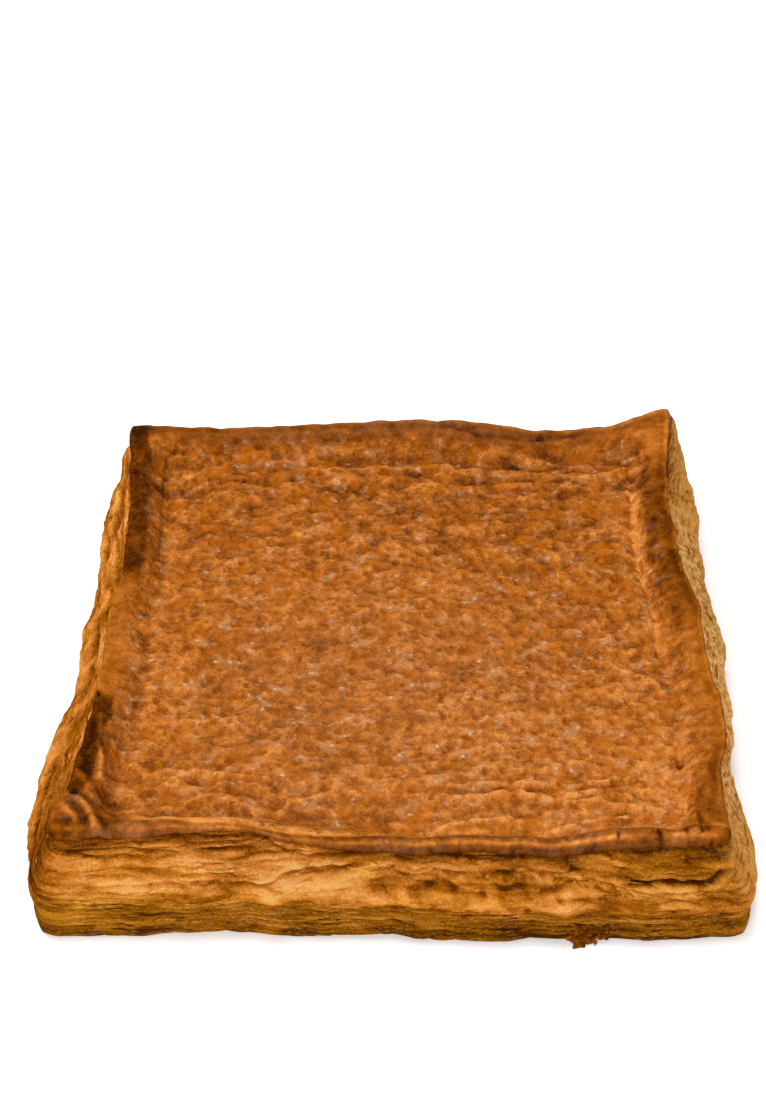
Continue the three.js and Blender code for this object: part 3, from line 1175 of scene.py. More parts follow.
@dataclass
class Lid:
    """The lid: a docked panel sunk inside a raised rim with a rolled lip, closed underneath."""

    form: PieForm
    noise: DoughNoise
    rim_cells: int = 36
    panel_cells: int = 217
    rim_zone: float = 22.0
    crease_depth: float = 1.1
    crease_spread: float = 3.0
    crease_wander: float = 3.0
    rim_lumps: float = 1.0
    swell: float = 0.7
    pillow: float = 2.8
    wrinkle: float = 2.4
    blister: float = 2.2
    crumple: float = 1.0
    groove: float = 0.8
    painted_hollow_shade: float = 0.18
    lip_angles: tuple[float, ...] = (25.0, 50.0, 75.0, 100.0, 130.0)
    under_inset: float = 11.0
    under_height: float = 31.0
    pit_spacing: float = 9.8
    pit_depth: float = 1.3
    pit_radius: float = 0.3
    dimple: float = 0.25
    # Pleats whose ridges are paler on top carry painted highlights, and darker cracks and narrow hollows
    # carry painted shade; the pale creases along the rims are paler dough.
    pleats: tuple[Pleat, ...] = (
        Pleat(((-130, -126), (-122, -128)), 9.0, 1.8, 0.2),
        Pleat(((-135, -126), (-129, -134)), 1.7, 2.0, -0.3),
        Pleat(((-128, -123), (-120, -137)), 1.9, 2.2, -0.3),
        Pleat(((-131, -104), (-123, -116)), 2.4, 1.8, -0.1),
        Pleat(((-131, -124), (-124, -137)), 1.2, -0.6, 0.06),
        Pleat(((-134, -113), (-126, -119)), 1.2, -0.8, 0.06),
        Pleat(((-120, -120), (-112, -131)), 1.5, -0.9, 0.08),
        Pleat(((-131, -60), (-129, -85), (-128, -102)), 2.6, -1.3),
        Pleat(((-126, -66), (-124, -85), (-121, -104)), 1.4, 1.6, -0.08),
        Pleat(((-117, -58), (-116, -80), (-118, -102)), 1.6, -1.0, -0.2),
        Pleat(((-107, 124), (-112, 117), (-112, 93), (-110, 60), (-113, 41)), 0.8, -0.8, 0.12),
        Pleat(((-112, 121), (-106, 123), (-87, 123), (-60, 124)), 1.0, -0.7, 0.1),
        Pleat(((-101, 116), (-81, 112), (-62, 107), (-27, 109), (19, 112)), 1.2, -1.1, 0.1),
        Pleat(((-104, 120), (-70, 117), (-20, 117)), 2.2, 1.2, 0.08),
        Pleat(((20, 138), (37, 132), (75, 131), (93, 134)), 1.2, -1.0, 0.06),
        Pleat(((56, 121), (75, 113), (97, 114), (114, 119)), 2.2, -0.8, 0.08),
        Pleat(((80, 109), (91, 105), (108, 107), (116, 112)), 1.8, 1.2, -0.12),
        Pleat(((119, 98), (118, 84), (117, 70), (117, 43), (121, 0), (121, -19)), 2.3, -1.4, -0.5),
        Pleat(((102, 90), (112, 95), (118, 88)), 1.6, -1.0, -0.12),
        Pleat(((96, 65), (107, 69), (116, 61)), 1.6, -1.0, -0.12),
        Pleat(((99, 43), (111, 48), (118, 37)), 1.6, -1.0, -0.12),
        Pleat(((91, -23), (109, -35), (121, -44)), 1.8, 1.3, -0.1),
        Pleat(((104, -42), (113, -51), (126, -61)), 1.5, -1.2, -0.15),
        Pleat(((107, -70), (115, -69), (123, -76), (124, -85)), 1.6, -1.4, -0.12),
        Pleat(((127, -92), (124, -105), (122, -119), (118, -127)), 1.3, -1.4, -0.35),
        Pleat(((126, -124), (126, -135)), 0.7, -1.0, 0.16),
        Pleat(((133, -134), (127, -128)), 6.0, 2.6, 0.04),
        Pleat(((120, -128), (113, -133), (104, -135)), 2.2, -1.2, -0.08),
        Pleat(((113, -140), (123, -135)), 2.8, 1.5, -0.22),
        Pleat(((127, -138), (134, -133)), 2.4, 1.3, -0.18),
        Pleat(((119, -131), (121, -141)), 0.9, -0.7, 0.12),
        Pleat(((128, -130), (130, -140)), 0.9, -0.7, 0.12),
        Pleat(((92, -132), (91, -142)), 0.8, -1.8, 0.28),
        Pleat(((109, -133), (111, -143)), 0.9, -2.0, 0.3),
        Pleat(((21, -102), (50, -101), (72, -102), (101, -96)), 1.5, 1.8, -0.18),
        Pleat(((27, -109), (52, -106), (68, -109), (85, -104)), 1.5, 1.7, -0.16),
        Pleat(((72, -111), (87, -109), (103, -113), (114, -115)), 1.5, 1.7, -0.16),
        Pleat(((67, -126), (84, -120), (99, -118)), 1.7, 1.8, -0.16),
        Pleat(((20, -125), (37, -121), (49, -119)), 1.7, 1.7, -0.16),
        Pleat(((24, -105), (60, -104), (98, -99)), 1.5, -1.0, 0.1),
        Pleat(((60, -114), (84, -113), (106, -118)), 2.0, -1.0, 0.12),
        Pleat(((-104, -96), (-93, -98), (-83, -95), (-67, -94), (-50, -98)), 1.6, 1.3, -0.1),
        Pleat(((-93, -102), (-85, -105), (-75, -109)), 4.5, 1.6, 0.14),
        Pleat(((-50, -98), (-47, -109), (-49, -116)), 1.6, -1.2, -0.08),
        Pleat(((-47, -116), (-43, -110), (-33, -109), (-24, -118)), 1.5, 1.2, -0.06),
        Pleat(((-113, -89), (-107, -89)), 4.0, 1.5, 0.05),
    )
    holes: tuple[Hole, ...] = (
        Hole(-130, -51, 2.0, 2.6),
        Hole(-132, -116, 1.4, 2.2),
        Hole(123, -87, 1.5, 2.4),
        Hole(79, -90, 0.9, 1.2),
        Hole(77, -96, 0.7, 0.9),
        Hole(-73, 104, 1.1, 1.6),
        Hole(75, 132, 1.0, 1.2),
    )
    stretches: tuple[Stretch, ...] = (
        Stretch(Side.LEFT, (-4, 9, 2), (28, 150, 9), 0.58, 1.0, True),
        Stretch(Side.LEFT, (-4, 8.5, 1), (-113, -54, 5), 0.58, 0.6, True),
        Stretch(Side.LEFT, (8, 14, 3), (28, 150, 9), 0.05),
        Stretch(Side.LEFT, (-1, 16, 3), (-100, 0, 12), 0.06),
        Stretch(Side.RIGHT, (0.6, 14, 1.5), (0, 104, 16), 0.34, 1.0, True),
        Stretch(Side.RIGHT, (-1, 16, 3), (-100, 0, 12), 0.06),
    )
    base_toast: float = 0.4
    hole_toast: float = 0.8
    burnt: float = 0.8
    facet_toast: float = 0.22
    rear_toast: float = 0.24
    lip_toast: float = 0.22
    strip_toast: float = -0.25
    corner_toast: float = 0.12
    painted_underside_shade: float = 0.18
    lip_gloss: float = 0.35
    ear_gloss: float = 0.12
    rear_gloss: float = 0.08
    pit_seed: float = 5.0
    pit_warp_scale: float = 60.0
    pit_warp: float = 8.0
    pit_lot: float = 0.75

    def lines(self) -> Array:
        """Places of the grid lines along a side, closer together on the rim.

        Returns:
            Shares from 0 to 1.
        """
        near = np.linspace(0, self.rim_zone / self.form.lid_side, self.rim_cells + 1)
        inner = np.linspace(near[-1], 1 - near[-1], self.panel_cells + 1)
        return np.concatenate((near[:-1], inner, (1 - near[:-1])[::-1]))

    def places(self, u: Array, v: Array) -> LidPlaces:
        """Finds where points of the lid lie.

        Args:
            u: Shares across, from the left.
            v: Shares in depth, from the front.

        Returns:
            The places.
        """
        form = self.form
        plan = form.lid_plan(u, v)
        x = plan[..., 0]
        y = plan[..., 1]
        front, right, rear, left = form.distances(u, v)
        to_side = np.minimum(left, right)
        to_end = np.minimum(front, rear)
        edge = np.minimum(to_side, to_end)
        corner = form.crease_corner
        inward = corner - np.hypot(np.maximum(0, corner - to_side), np.maximum(0, corner - to_end))
        wander = self.noise(x / 36, y / 36, 3.1) + 0.4 * self.noise(x / 12, y / 12, 3.9)
        inward = inward + self.crease_wander * wander * eased(inward, 5, 14)
        panel = eased(inward, form.crest_inset, form.rim_width)
        roll = form.roll(u, v) * (1 + 0.15 * self.noise(x / 14, y / 14, 11.0))
        return LidPlaces(x, y, front, right, rear, left, edge, inward, panel, roll)

    def grain(self, at: LidPlaces, wide: float, layer: float) -> Array:
        """Noise over the lid in cells of a width, from its own layer."""
        return self.noise(at.x / wide, at.y / wide, layer)

    def relief(self, at: LidPlaces) -> Array:
        """Relief of the lid: rounded pillows with sharp creases, wrinkles at the front and rear, blisters.

        Args:
            at: Where the points lie.

        Returns:
            The relief, about 0.
        """
        x = at.x
        y = at.y
        noise = self.noise
        bend = 4 * self.grain(at, 26, 9.3)
        quilt = np.abs(noise((x + bend) / 19, (y + bend) / 10, 12.5)) ** 0.7 - 0.4
        rows = window(at.right, 14, 62, 14) * window(at.front, 70, 270, 30)
        rows = np.maximum(window(at.rear, 12, 100, 26), rows)
        rows = np.maximum(rows, 0.6 * window(at.left, 12, 60, 14))
        relief = self.pillow * quilt * (0.25 + 0.75 * rows)
        slant = y - 0.22 * x * eased(x, -10, 60)
        folds = np.abs(noise(x / 34, (slant + 0.6 * bend) / 8.5, 5.5)) ** 0.7 - 0.4
        relief += self.wrinkle * folds * window(at.front, 17, 48, 9)
        relief += self.wrinkle * noise(x / 30, (y + bend) / 8, 6.5) * window(at.rear, 6, 46, 8)
        blobs = np.maximum(0, noise(x / 9, y / 8, 2.5)) ** 0.8
        relief += self.blister * blobs * window(at.left, 14, 80, 10) * window(at.front, 15, 46, 9)
        relief *= eased(at.inward, 3, 16)
        crumpled = 0.5 * noise(x / 5.5, y / 5, 15.5) + 0.5 * noise(x / 2.8, y / 2.6, 16.5)
        rough = 0.9 * window(at.right, 2, 24, 5) * window(y, -104, 4, 12)
        return relief + self.crumple * crumpled * np.maximum(eased(at.inward, 8, 20), rough)

    def surface(self, u: Array, v: Array) -> tuple[Array, dict[str, Array]]:
        """The lid's top and what its finish needs to know of it.

        Args:
            u: Shares across, from the left.
            v: Shares in depth, from the front.

        Returns:
            The points, and numbers for each point by name.
        """
        form = self.form
        at = self.places(u, v)
        lumps = 0.7 * self.grain(at, 21, 7.7) + 0.4 * self.grain(at, 8, 1.2)
        rim = form.crest(u, v) + self.rim_lumps * lumps * (1 + window(at.rear, -1, 12, 3))
        swell = self.swell * (np.sin(11 * u + 4 * v) + np.sin(5 * u - 13 * v + 1))
        relief = self.relief(at)
        height = rim * at.rim + (form.panel_height + swell) * at.panel + relief
        behind = eased(at.edge, at.roll, 2.2 * at.roll) - eased(at.edge, 9, 17)
        behind *= 1 - window(at.side_edge, -1, 18, 4) * window(at.front, -1, 18, 4)
        height -= self.groove * at.roll * behind * (0.15 + 0.85 * eased(at.x, -40, 10))
        bend = np.maximum(0, at.roll - at.edge)
        height -= at.roll - np.sqrt(np.maximum(0, at.roll**2 - bend**2))
        height -= self.crease_depth * bell(at.inward, form.rim_width, self.crease_spread)
        # Painted light: raised relief is paler and low relief darker, more so towards the rear.
        toast = self.toast(at) - (0.015 + 0.03 * window(at.rear, 8, 100, 25)) * relief
        warp = 1.2 * self.grain(at, 9, 8.8) + 0.5 * self.grain(at, 3.5, 8.1)
        uneven = 1 + 0.45 * self.grain(at, 8, 9.8)
        for pleat in self.pleats:
            share = pleat.share(at.x + warp, at.y - warp) * uneven
            height += pleat.height * share
            toast += pleat.toast * share
        toast = np.where(toast > self.burnt, self.burnt + 0.5 * (toast - self.burnt), toast)
        ragged = 0.5 * self.grain(at, 1.5, 2.2)
        for hole in self.holes:
            share = bell(np.hypot(at.x - hole.x, at.y - hole.y) + ragged, 0, hole.radius)
            height -= hole.depth * share
            toast += self.hole_toast * share
        # Painted shade: hollows darker and crests paler, by how far each point lies below its neighbours'
        # mean.
        hollow = averaged(averaged(height, 5, 0, False), 5, 1, False) - height
        toast += np.clip(self.painted_hollow_shade * hollow, -0.2, 0.3) * eased(at.edge, 0, 2)
        numbers = {"toast": toast, "roll": at.roll} | self.shine(at)
        return np.stack((at.x, at.y, height), -1), numbers

    def shine(self, at: LidPlaces) -> dict[str, Array]:
        """Where the lid is docked and glossy, and where its colour carries a painted sheen.

        Args:
            at: Where the points lie.

        Returns:
            Shares for each point, by name.
        """
        strip = eased(at.front - 1.7 * at.roll, 0, 3) * (1 - eased(at.front, 16, 22))
        panel = np.maximum(eased(at.inward, 5, 14), strip * window(at.x, -104, 112, 6))
        patchy = 0.25 + 0.75 * eased(self.grain(at, 5, 13.3), -0.15, 0.4)
        # Painted sheen: strongest over the panel's middle, and in patches along the rear rim.
        painted_sheen = at.panel * (0.25 + 0.75 * bell(np.hypot(at.x / 95, (at.y + 45) / 80), 0, 1))
        painted_sheen += 0.6 * window(at.rear, 1.5, 9, 1.5) * window(at.x, -70, 70, 25) * patchy
        lip = self.lip_gloss * patchy * (1 - eased(at.front, 1.6 * at.roll, 2.2 * at.roll))
        lip *= eased(at.side_edge, 6, 20)
        ear = self.ear_gloss * window(at.left, 5, 20, 2) * window(at.front, 5, 24, 2)
        far = self.rear_gloss * (1 - eased(at.rear, 2, 12))
        return {
            "docked": eased(at.inward, self.form.rim_width, self.form.rim_width + 8),
            "panel": panel * (1 - 0.85 * self.facet(at)),
            "painted_sheen": painted_sheen,
            "gloss": np.maximum(np.maximum(lip, ear), far),
        }

    def toast(self, at: LidPlaces) -> Array:
        """How browned the lid is.

        Args:
            at: Where the points lie.

        Returns:
            Numbers from 0, pale gold, to 1, nearly burnt.
        """
        x = at.x
        y = at.y
        ragged = 1.4 * self.grain(at, 9, 6.6) + 0.8 * self.grain(at, 3, 6.9)
        patchy = 1 + 0.35 * self.noise(x / 10, y / 14, 6.1)
        toast = self.base_toast + 0.05 * self.noise.fractal(x / 60, y / 60, 1.7, 3)
        toast += 0.08 * eased(y, 10, 120) * at.panel
        toast -= 0.14 * eased(x, -30, 110) * eased(-y, -10, 110) * at.panel
        for stretch in self.stretches:
            toast += stretch.browning(at, ragged, patchy)
        toast += self.facet_toast * self.facet(at, 0.6 * ragged) * eased(at.right, 0.5, 2.5)
        toast -= 0.14 * window(at.right, 16, 40, 3) * window(at.front, 12, 60, 8)
        toast += self.rear_toast * window(at.rear + ragged, -1, 10, 3) * (1 - 0.6 * eased(x, 95, 120))
        corners = at.rim * window(at.left, -1, 26, 5) * window(at.front, -1, 26, 5)
        return toast + self.lip_browning(at, ragged, patchy) + self.corner_toast * corners

    def lip_browning(self, at: LidPlaces, ragged: Array, patchy: Array) -> Array:
        """How browned the front lip is, with a painted highlight along it, and how pale the strip behind it.

        Args:
            at: Where the points lie.
            ragged: How far borders are shifted there.
            patchy: How much stronger patchy browning is there.

        Returns:
            The browning.
        """
        x = at.x
        behind = at.front + 0.4 * ragged - 1.7 * at.roll
        mottled = 0.16 * self.grain(at, 2.2, 19.1) + 0.1 * self.grain(at, 5, 19.7)
        gathered = np.maximum(eased(x, 86, 108), eased(-x, 92, 110))
        # Painted highlight: the lip is paler along the middle of its roll.
        painted_highlight = (0.26 + 0.16 * eased(x, -30, 60)) * bell(at.front / at.roll, 0.45, 0.2) * patchy
        lip = self.lip_toast + 0.1 * eased(x, -60, -20) + 0.05 * gathered
        lip += mottled - painted_highlight * (1 - 0.75 * gathered)
        strip = (self.strip_toast - 0.05 * eased(x, -70, -20)) * window(behind, 0, 4.5, 1.5)
        return lip * (1 - eased(behind, -0.6, 0.6)) + strip * window(x, -108, 116, 6) * patchy

    def facet(self, at: LidPlaces, stray: Array | float = 0.0) -> Array:
        """How far points lie on the smooth fold at the front right corner, its edge shifted by stray."""
        beyond = at.x - 122 - 0.4 * (at.y + 123) + stray
        return eased(beyond, -1.2, 1.2) * window(at.front, 8, 44, 4)

    def carrier(self) -> Piece:
        """Makes the lid's mesh, before it is docked.

        Returns:
            The object.
        """
        lines = self.lines()
        count = len(lines)
        u, v = np.meshgrid(lines, lines)
        points, numbers = self.surface(u, v)
        index = np.arange(count * count).reshape(count, count)
        corners = (index[:-1, :-1], index[:-1, 1:], index[1:, 1:], index[1:, :-1])
        border = np.concatenate((index[0, :-1], index[:-1, -1], index[-1, :0:-1], index[:0:-1, 0]))
        top = points.reshape(-1, 3)
        edge = top[border]
        browned = numbers["toast"].ravel()
        roll = numbers["roll"].ravel()[border]
        _, _, out = self.form.edges(lines[:-1])
        turns = np.radians(self.lip_angles)
        steps = [(out * (roll * (math.cos(turn) - 1))[:, None], -roll * math.sin(turn)) for turn in turns]
        steps.append((out * -self.under_inset, self.under_height - edge[:, 2]))
        blocks = [top]
        toast = [browned]
        faces = [np.column_stack([corner.ravel() for corner in corners])]
        row = border
        for sideways, down in steps:
            following = sum(map(len, blocks)) + np.arange(len(border))
            faces.append(ring_faces(row, following))
            row = following
            blocks.append(edge + np.column_stack((sideways, down)))
            # Painted shade: the lip's colour darkens as it curls under.
            toast.append(browned[border] + self.painted_underside_shade * np.minimum(1, np.abs(down) / roll))
        faces.append(cap_faces(row, sum(map(len, blocks)), faces_up=False))
        blocks.append(np.array([[0, 0, self.under_height]]))
        toast.append(np.array([self.base_toast]))
        everything = np.concatenate(blocks)
        attributes = {"toast": np.concatenate(toast)}
        for name in ("docked", "panel", "gloss", "painted_sheen"):
            under = np.zeros(len(everything) - len(top))
            attributes[name] = np.concatenate((numbers[name].ravel(), under))
        return mesh_piece("lid_carrier", self.form.placed(everything), faces, attributes)

    def docked(self, carrier: Piece, material: Material) -> Piece:
        """Pricks the panel all over: pits on a staggered, uneven grid, with the dough dimpled round them.

        Args:
            carrier: The lid before it is docked.
            material: The lid's finish.

        Returns:
            The lid.
        """
        shape = NodeShape(
            "docked_panel",
            {
                "Pit spacing": self.pit_spacing * MM,
                "Pit depth": self.pit_depth * MM,
                "Pit radius": self.pit_radius,
                "Dimple height": self.dimple * MM,
                "Seed": self.pit_seed,
                "Finish": material,
            },
        )
        write = shape.write
        given = shape.given
        place = write.position()
        bent = write.vector("ADD", place, write.stray(place, self.pit_warp_scale, 1.0, self.pit_warp * MM))
        feeds = {"Vector": bent, "Angle": math.pi / 4}
        turned = write.add("ShaderNodeVectorRotate", feeds, rotation_type="Z_AXIS").outputs[0]
        cell = write.math("DIVIDE", math.sqrt(2), given["Pit spacing"])
        shift = write.scaled((1, 1, 0), given["Seed"])
        lattice = write.vector("ADD", write.scaled(turned, cell), shift)
        feeds = {"Vector": lattice, "Scale": 1.0, "Randomness": self.pit_lot}
        distance = write.add("ShaderNodeTexVoronoi", feeds, voronoi_dimensions="2D").outputs["Distance"]
        pit = write.ranged(distance, 0.0, given["Pit radius"], 1.0, 0.0)
        sunk = write.product(pit, given["Pit depth"])
        raised = write.product(write.ranged(distance, given["Pit radius"], 0.9), given["Dimple height"])
        docked = write.held("docked")
        relief = write.product(write.math("SUBTRACT", raised, sunk), docked)
        marked = write.stored(given["Geometry"], "pit", write.product(pit, docked), "POINT")
        normal = write.add("GeometryNodeInputNormal").outputs[0]
        return shape.run(write.moved(marked, Offset=write.scaled(normal, relief)), carrier, "lid_crust")

    def build(self, finish: EggWashedCrust) -> Piece:
        """Builds the lid with its finish."""
        return self.docked(self.carrier(), finish.material())


@dataclass(frozen=True)
class Fold:
    """A ridge or a hollow that runs along one side of the wall.

    It runs between two places along the side, at heights given for even stations. It has a half-height,
    stands out or lies in, is browned or pale, and may be smeared smooth or crumbly. Mostly a hollow is
    darker, painted shade, and a ridge paler, painted highlight.
    """

    side: Side
    start: float
    end: float
    heights: tuple[float, ...]
    half: float
    out: float
    toast: float
    smooth: float = 0.0
    crumbly: float = 0.0

    def share(self, ring: Ring, height: Array) -> Array:
        """How far points of the wall lie on the fold.

        Args:
            ring: The wall's columns.
            height: Heights of the points.

        Returns:
            Shares from 0 to 1.
        """
        middle = through(self.heights, (ring.along - self.start) / (self.end - self.start))
        soft = min(6.0, 0.25 * (self.end - self.start))
        reach = np.where(ring.side == self.side, window(ring.along, self.start, self.end, soft), 0)
        return reach * bell(height, middle, self.half)


def front_folds() -> list[Fold]:
    """The folds, leaf edges, crevices and burnt spots that show on the front; the crevices are darkened with
    painted shade and many ridges are paler with painted highlight.

    Returns:
        The folds.
    """
    front = partial(Fold, Side.FRONT)
    spots = ((28, 16.7), (45, 17.7), (53, 19.7), (36, 24.9), (71, 15.1), (67, 22.9), (50, 28.6))
    return [
        front(-137, -118, (41.5, 39.0, 36.8), 0.9, -1.8, 0.3),
        front(-119, -108, (37.6, 37.4), 0.7, -1.3, 0.28),
        front(-105, -88, (39.4, 39.6, 39.5), 0.9, -1.6, 0.36),
        front(-80, -60, (41.4, 41.2, 40.2), 0.9, -1.5, 0.32),
        front(-104, -70, (35.8, 36.8, 37.6), 1.3, 0.9, -0.2),
        front(-86, -58, (34.0, 33.3, 32.8), 0.6, 0.7, -0.3),
        front(-119, -76, (30.2, 30.3, 31.3), 0.7, 0.7, -0.28),
        front(-102, -58, (28.6, 28.6, 29.0, 28.8), 1.2, -0.8, 0.25, crumbly=0.8),
        front(-135, -46, (28.3, 26.0, 24.6, 24.0), 4.2, 1.5, -0.03, smooth=0.15),
        front(-54, 74, (24.2, 23.8, 23.4, 22.8, 21.8, 20.0), 4.2, 1.7, -0.05, smooth=0.8),
        front(64, 155, (18.0, 19.0, 20.5, 21.2, 21.8), 4.0, 1.5, 0.02, smooth=0.6),
        front(-55, -26, (46.5, 41.0, 37.5, 36.0, 35.2), 0.55, -1.4, 0.26),
        front(-52, -30, (46.0, 42.0, 39.2, 38.0), 1.4, 1.0, -0.18),
        front(-32, 8, (37.8, 36.2, 36.0), 1.8, -0.8, 0.18),
        front(-42, -19, (32.4, 33.7, 32.4), 0.6, 1.5, -0.25),
        front(-36, -15, (30.9, 30.6, 31.0), 0.8, -1.3, 0.35),
        front(-62, -3, (31.0, 29.6, 28.4, 28.1, 29.3, 30.7), 1.2, 1.1, -0.2),
        front(14, 74, (28.4, 28.6, 28.5, 28.0, 26.4), 1.8, -1.8, 0.16, crumbly=1.0),
        front(12, 72, (26.4, 26.6, 26.2, 25.4, 24.6), 0.7, -1.3, 0.22),
        front(-15, 70, (22.8, 22.6, 22.2, 21.6, 20.6), 1.7, 1.0, -0.1),
        front(-6, 46, (31.4, 32.2, 32.6, 32.0), 1.5, 1.6, -0.16),
        front(48, 78, (32.3, 32.0, 30.5, 28.4), 1.0, 1.2, -0.12),
        front(97, 138, (27.8, 29.0, 28.6, 28.1, 31.5), 0.55, -3.2, 0.75),
        front(96, 140, (26.2, 27.4, 27.0, 26.5, 29.9), 0.9, 0.9, -0.16),
        front(66, 100, (26.0, 25.5, 24.9), 1.4, -0.9, 0.14, crumbly=1.0),
        front(84, 152, (12.6, 13.3, 13.5, 16.5), 0.5, 0.5, -0.2),
        front(84, 152, (14.2, 14.9, 15.1, 18.0), 0.8, -1.0, 0.15),
        front(40, 82, (8.0, 8.4, 8.7), 0.6, -0.8, 0.25),
        front(-30, 10, (11.5, 10.5, 9.0), 0.6, -0.8, 0.22),
        front(-110, -94, (27.4, 27.0), 1.2, 1.0, -0.22),
        front(-79, -66, (34.6, 34.8), 0.7, 0.9, -0.3),
        front(-33, 4, (26.2, 26.8, 28.2, 29.4), 0.9, 1.0, -0.1),
        front(-56, -24, (29.6, 31.6, 33.8, 33.6), 0.6, 0.9, -0.26),
        front(-56, -26, (28.2, 30.2, 32.2, 32.0), 0.5, -1.0, 0.26),
        front(-125, -95, (20.0, 20.5, 18.5), 0.6, -0.8, 0.22),
        front(-152, -136, (29.8, 29.6), 0.6, -0.9, 0.25),
        front(-152, -137, (26.8, 26.8), 0.6, -0.9, 0.25),
        front(-152, -139, (24.1, 24.1), 0.6, -0.9, 0.25),
        *(front(x - 1.4, x + 1.4, (z, z), 0.8, -0.4, 0.42) for x, z in spots),
    ]


@dataclass(frozen=True)
class FootLift:
    """A stretch of the front foot that stands off the bench: its place, half-length, height and softness."""

    along: float
    half_length: float
    height: float
    soft: float = 5.0

    def lift(self, along: Array) -> Array:
        """How far the foot stands off the bench at places along the front."""
        start = self.along - self.half_length
        return self.height * window(along, start, start + 2 * self.half_length, self.soft)


@dataclass
class Wall:
    """The flaky wall all round the pie, from under the lip to the sole."""

    form: PieForm
    noise: DoughNoise
    columns: int = 236
    rows: int = 100
    strays: int = 14
    seed: int = 4
    lens: float = 1.5
    strips: float = 0.4
    leaf: float = 2.9
    layers: float = 0.9
    dashes: float = 0.22
    creases: float = 0.4
    crumbs: float = 0.9
    blobs: float = 0.3
    streaks: float = 0.5
    painted_hollow_shade: float = 0.15
    base_toast: float = 0.39
    palest: float = 0.2
    corner_start: float = 134.0
    corner_end: float = 146.0
    side_leaves: tuple[float, float, float, float] = (1.0, 0.9, 0.8, 0.9)
    foot_lift: float = 1.4
    foot_lifts: tuple[FootLift, ...] = (FootLift(-77, 11, 1.3), FootLift(-5, 20, 1.5), FootLift(58, 8, 1.0))
    sole_inset: float = 8.0
    cap_inset: float = 11.0
    cap_height: float = 29.0

    def folds(self) -> list[Fold]:
        """The folds of all four sides; those on the sides that the photograph hides are drawn by lot.

        Returns:
            The folds.
        """
        random = np.random.default_rng(self.seed)
        folds = front_folds()
        for side in (Side.RIGHT, Side.REAR, Side.LEFT):
            level = 20 + random.uniform(-2, 3, 6)
            folds.append(Fold(side, -160, 160, tuple(level), 4.5, 1.5, -0.04, smooth=0.9))
            if side != Side.LEFT:
                start, end = (98, 160) if side == Side.RIGHT else (-160, -98)
                folds.append(Fold(side, start, end, (43, 43), 9.0, 4.5, -0.04))
            for _ in range(self.strays):
                start = random.uniform(-150, 110)
                heights = tuple(random.uniform(5, 40) + random.uniform(-1.5, 1.5, 4))
                out = random.choice((-1.6, -1.1, 0.7, 1.1))
                half = random.uniform(0.6, 1.3)
                end = start + random.uniform(15, 55)
                # Painted light: a stray fold that lies in is darker and one that stands out is paler.
                folds.append(Fold(side, start, end, heights, half, out, -0.13 * out))
        return folds

    def limits(self, ring: Ring) -> tuple[Array, Array]:
        """The wall's upper edge under the lip and its foot.

        Args:
            ring: The wall's columns.

        Returns:
            The two heights of each column.
        """
        front = ring.side == Side.FRONT
        uneven = self.noise(ring.x / 38, ring.y / 38, 23.5) + 0.1
        lift = np.where(front, 0, self.foot_lift * np.maximum(0, uneven))
        for raised in self.foot_lifts:
            lift = lift + front * raised.lift(ring.along)
        foot = 0.5 + lift + 0.3 * self.noise(ring.x / 5, ring.y / 5, 24.5)
        return ring.lip - 1.2 * ring.roll, foot

    def grain(self, ring: Ring, height: Array, wide: float, tall: float, layer: float) -> Array:
        """Noise over the wall in cells of a width and a height, from its own layer."""
        return self.noise(ring.x / wide, ring.y / wide, height / tall + layer)

    def relief(self, ring: Ring, height: Array) -> tuple[Array, dict[str, Array]]:
        """How far the wall stands out and what its finish needs to know of it.

        Args:
            ring: The wall's columns.
            height: Heights of the points, in rows from the top down.

        Returns:
            The offsets, and numbers for each point by name.
        """
        grain = partial(self.grain, ring)
        flow = height + (1.5 * grain(height, 38, 14, 5) + 0.6 * grain(height, 13, 7, 9))
        offset, browning, smooth, crumbly = np.zeros((4, *height.shape))
        ragged = 0.7 * grain(height, 5, 3, 50)
        for fold in self.folds():
            share = fold.share(ring, height + ragged)
            offset += fold.out * share
            browning += fold.toast * share
            smooth = np.maximum(smooth, fold.smooth * share)
            crumbly = np.maximum(crumbly, fold.crumbly * share)
        low = self.base_share(ring, height)
        lens = grain(flow, 26, 3.6, 20) * (1 - low) + grain(flow, 15, 1.8, 25) * low
        swollen = np.abs(lens) ** 0.6 - 0.5
        crease = bell(lens, 0, 0.07) * eased(grain(flow, 15, 4, 35), -0.25, 0.35)
        strip = grain(flow, 10, 1.4, 30)
        dash = grain(flow, 5, 0.9, 40)
        crumb = grain(height, 2.2, 1.6, 60)
        corner = eased(-ring.x, 128, 142) * eased(-ring.y, 90, 135)
        leafy = (1 - 0.85 * smooth) * np.array(self.side_leaves)[ring.side]
        leafy = leafy * (1 - 0.6 * corner) * (1 - 0.7 * crumbly)
        lumpy = self.lens * swollen + self.strips * strip + self.dashes * dash - self.creases * crease
        offset += lumpy * leafy * (1 - 0.35 * low) + self.crumbs * crumb * crumbly
        wave = 1.6 * grain(height, 30, 9, 110) + 0.5 * grain(height, 9, 4, 115)
        turn = np.sin(math.pi * (flow + wave) / self.leaf)
        strength = eased(grain(flow, 16, 5, 120), -0.35, 0.45) * leafy
        layer = (np.abs(turn) ** 0.6 - 0.6) * strength
        offset += self.layers * layer
        # Painted shade and highlight: darker in the gaps between layers, paler on the raised layers.
        browning += (0.24 * bell(turn, 0, 0.4) * strength - 0.14 * layer) * (1 - 0.4 * low)
        blob = grain(height, 7, 4, 90) + 0.6 * grain(height, 3, 2, 95)
        offset += self.blobs * blob * smooth
        # Painted highlight: raised blobs on the smooth band are paler.
        browning -= 0.3 * blob * smooth
        tone = grain(flow, 24, 5, 70)
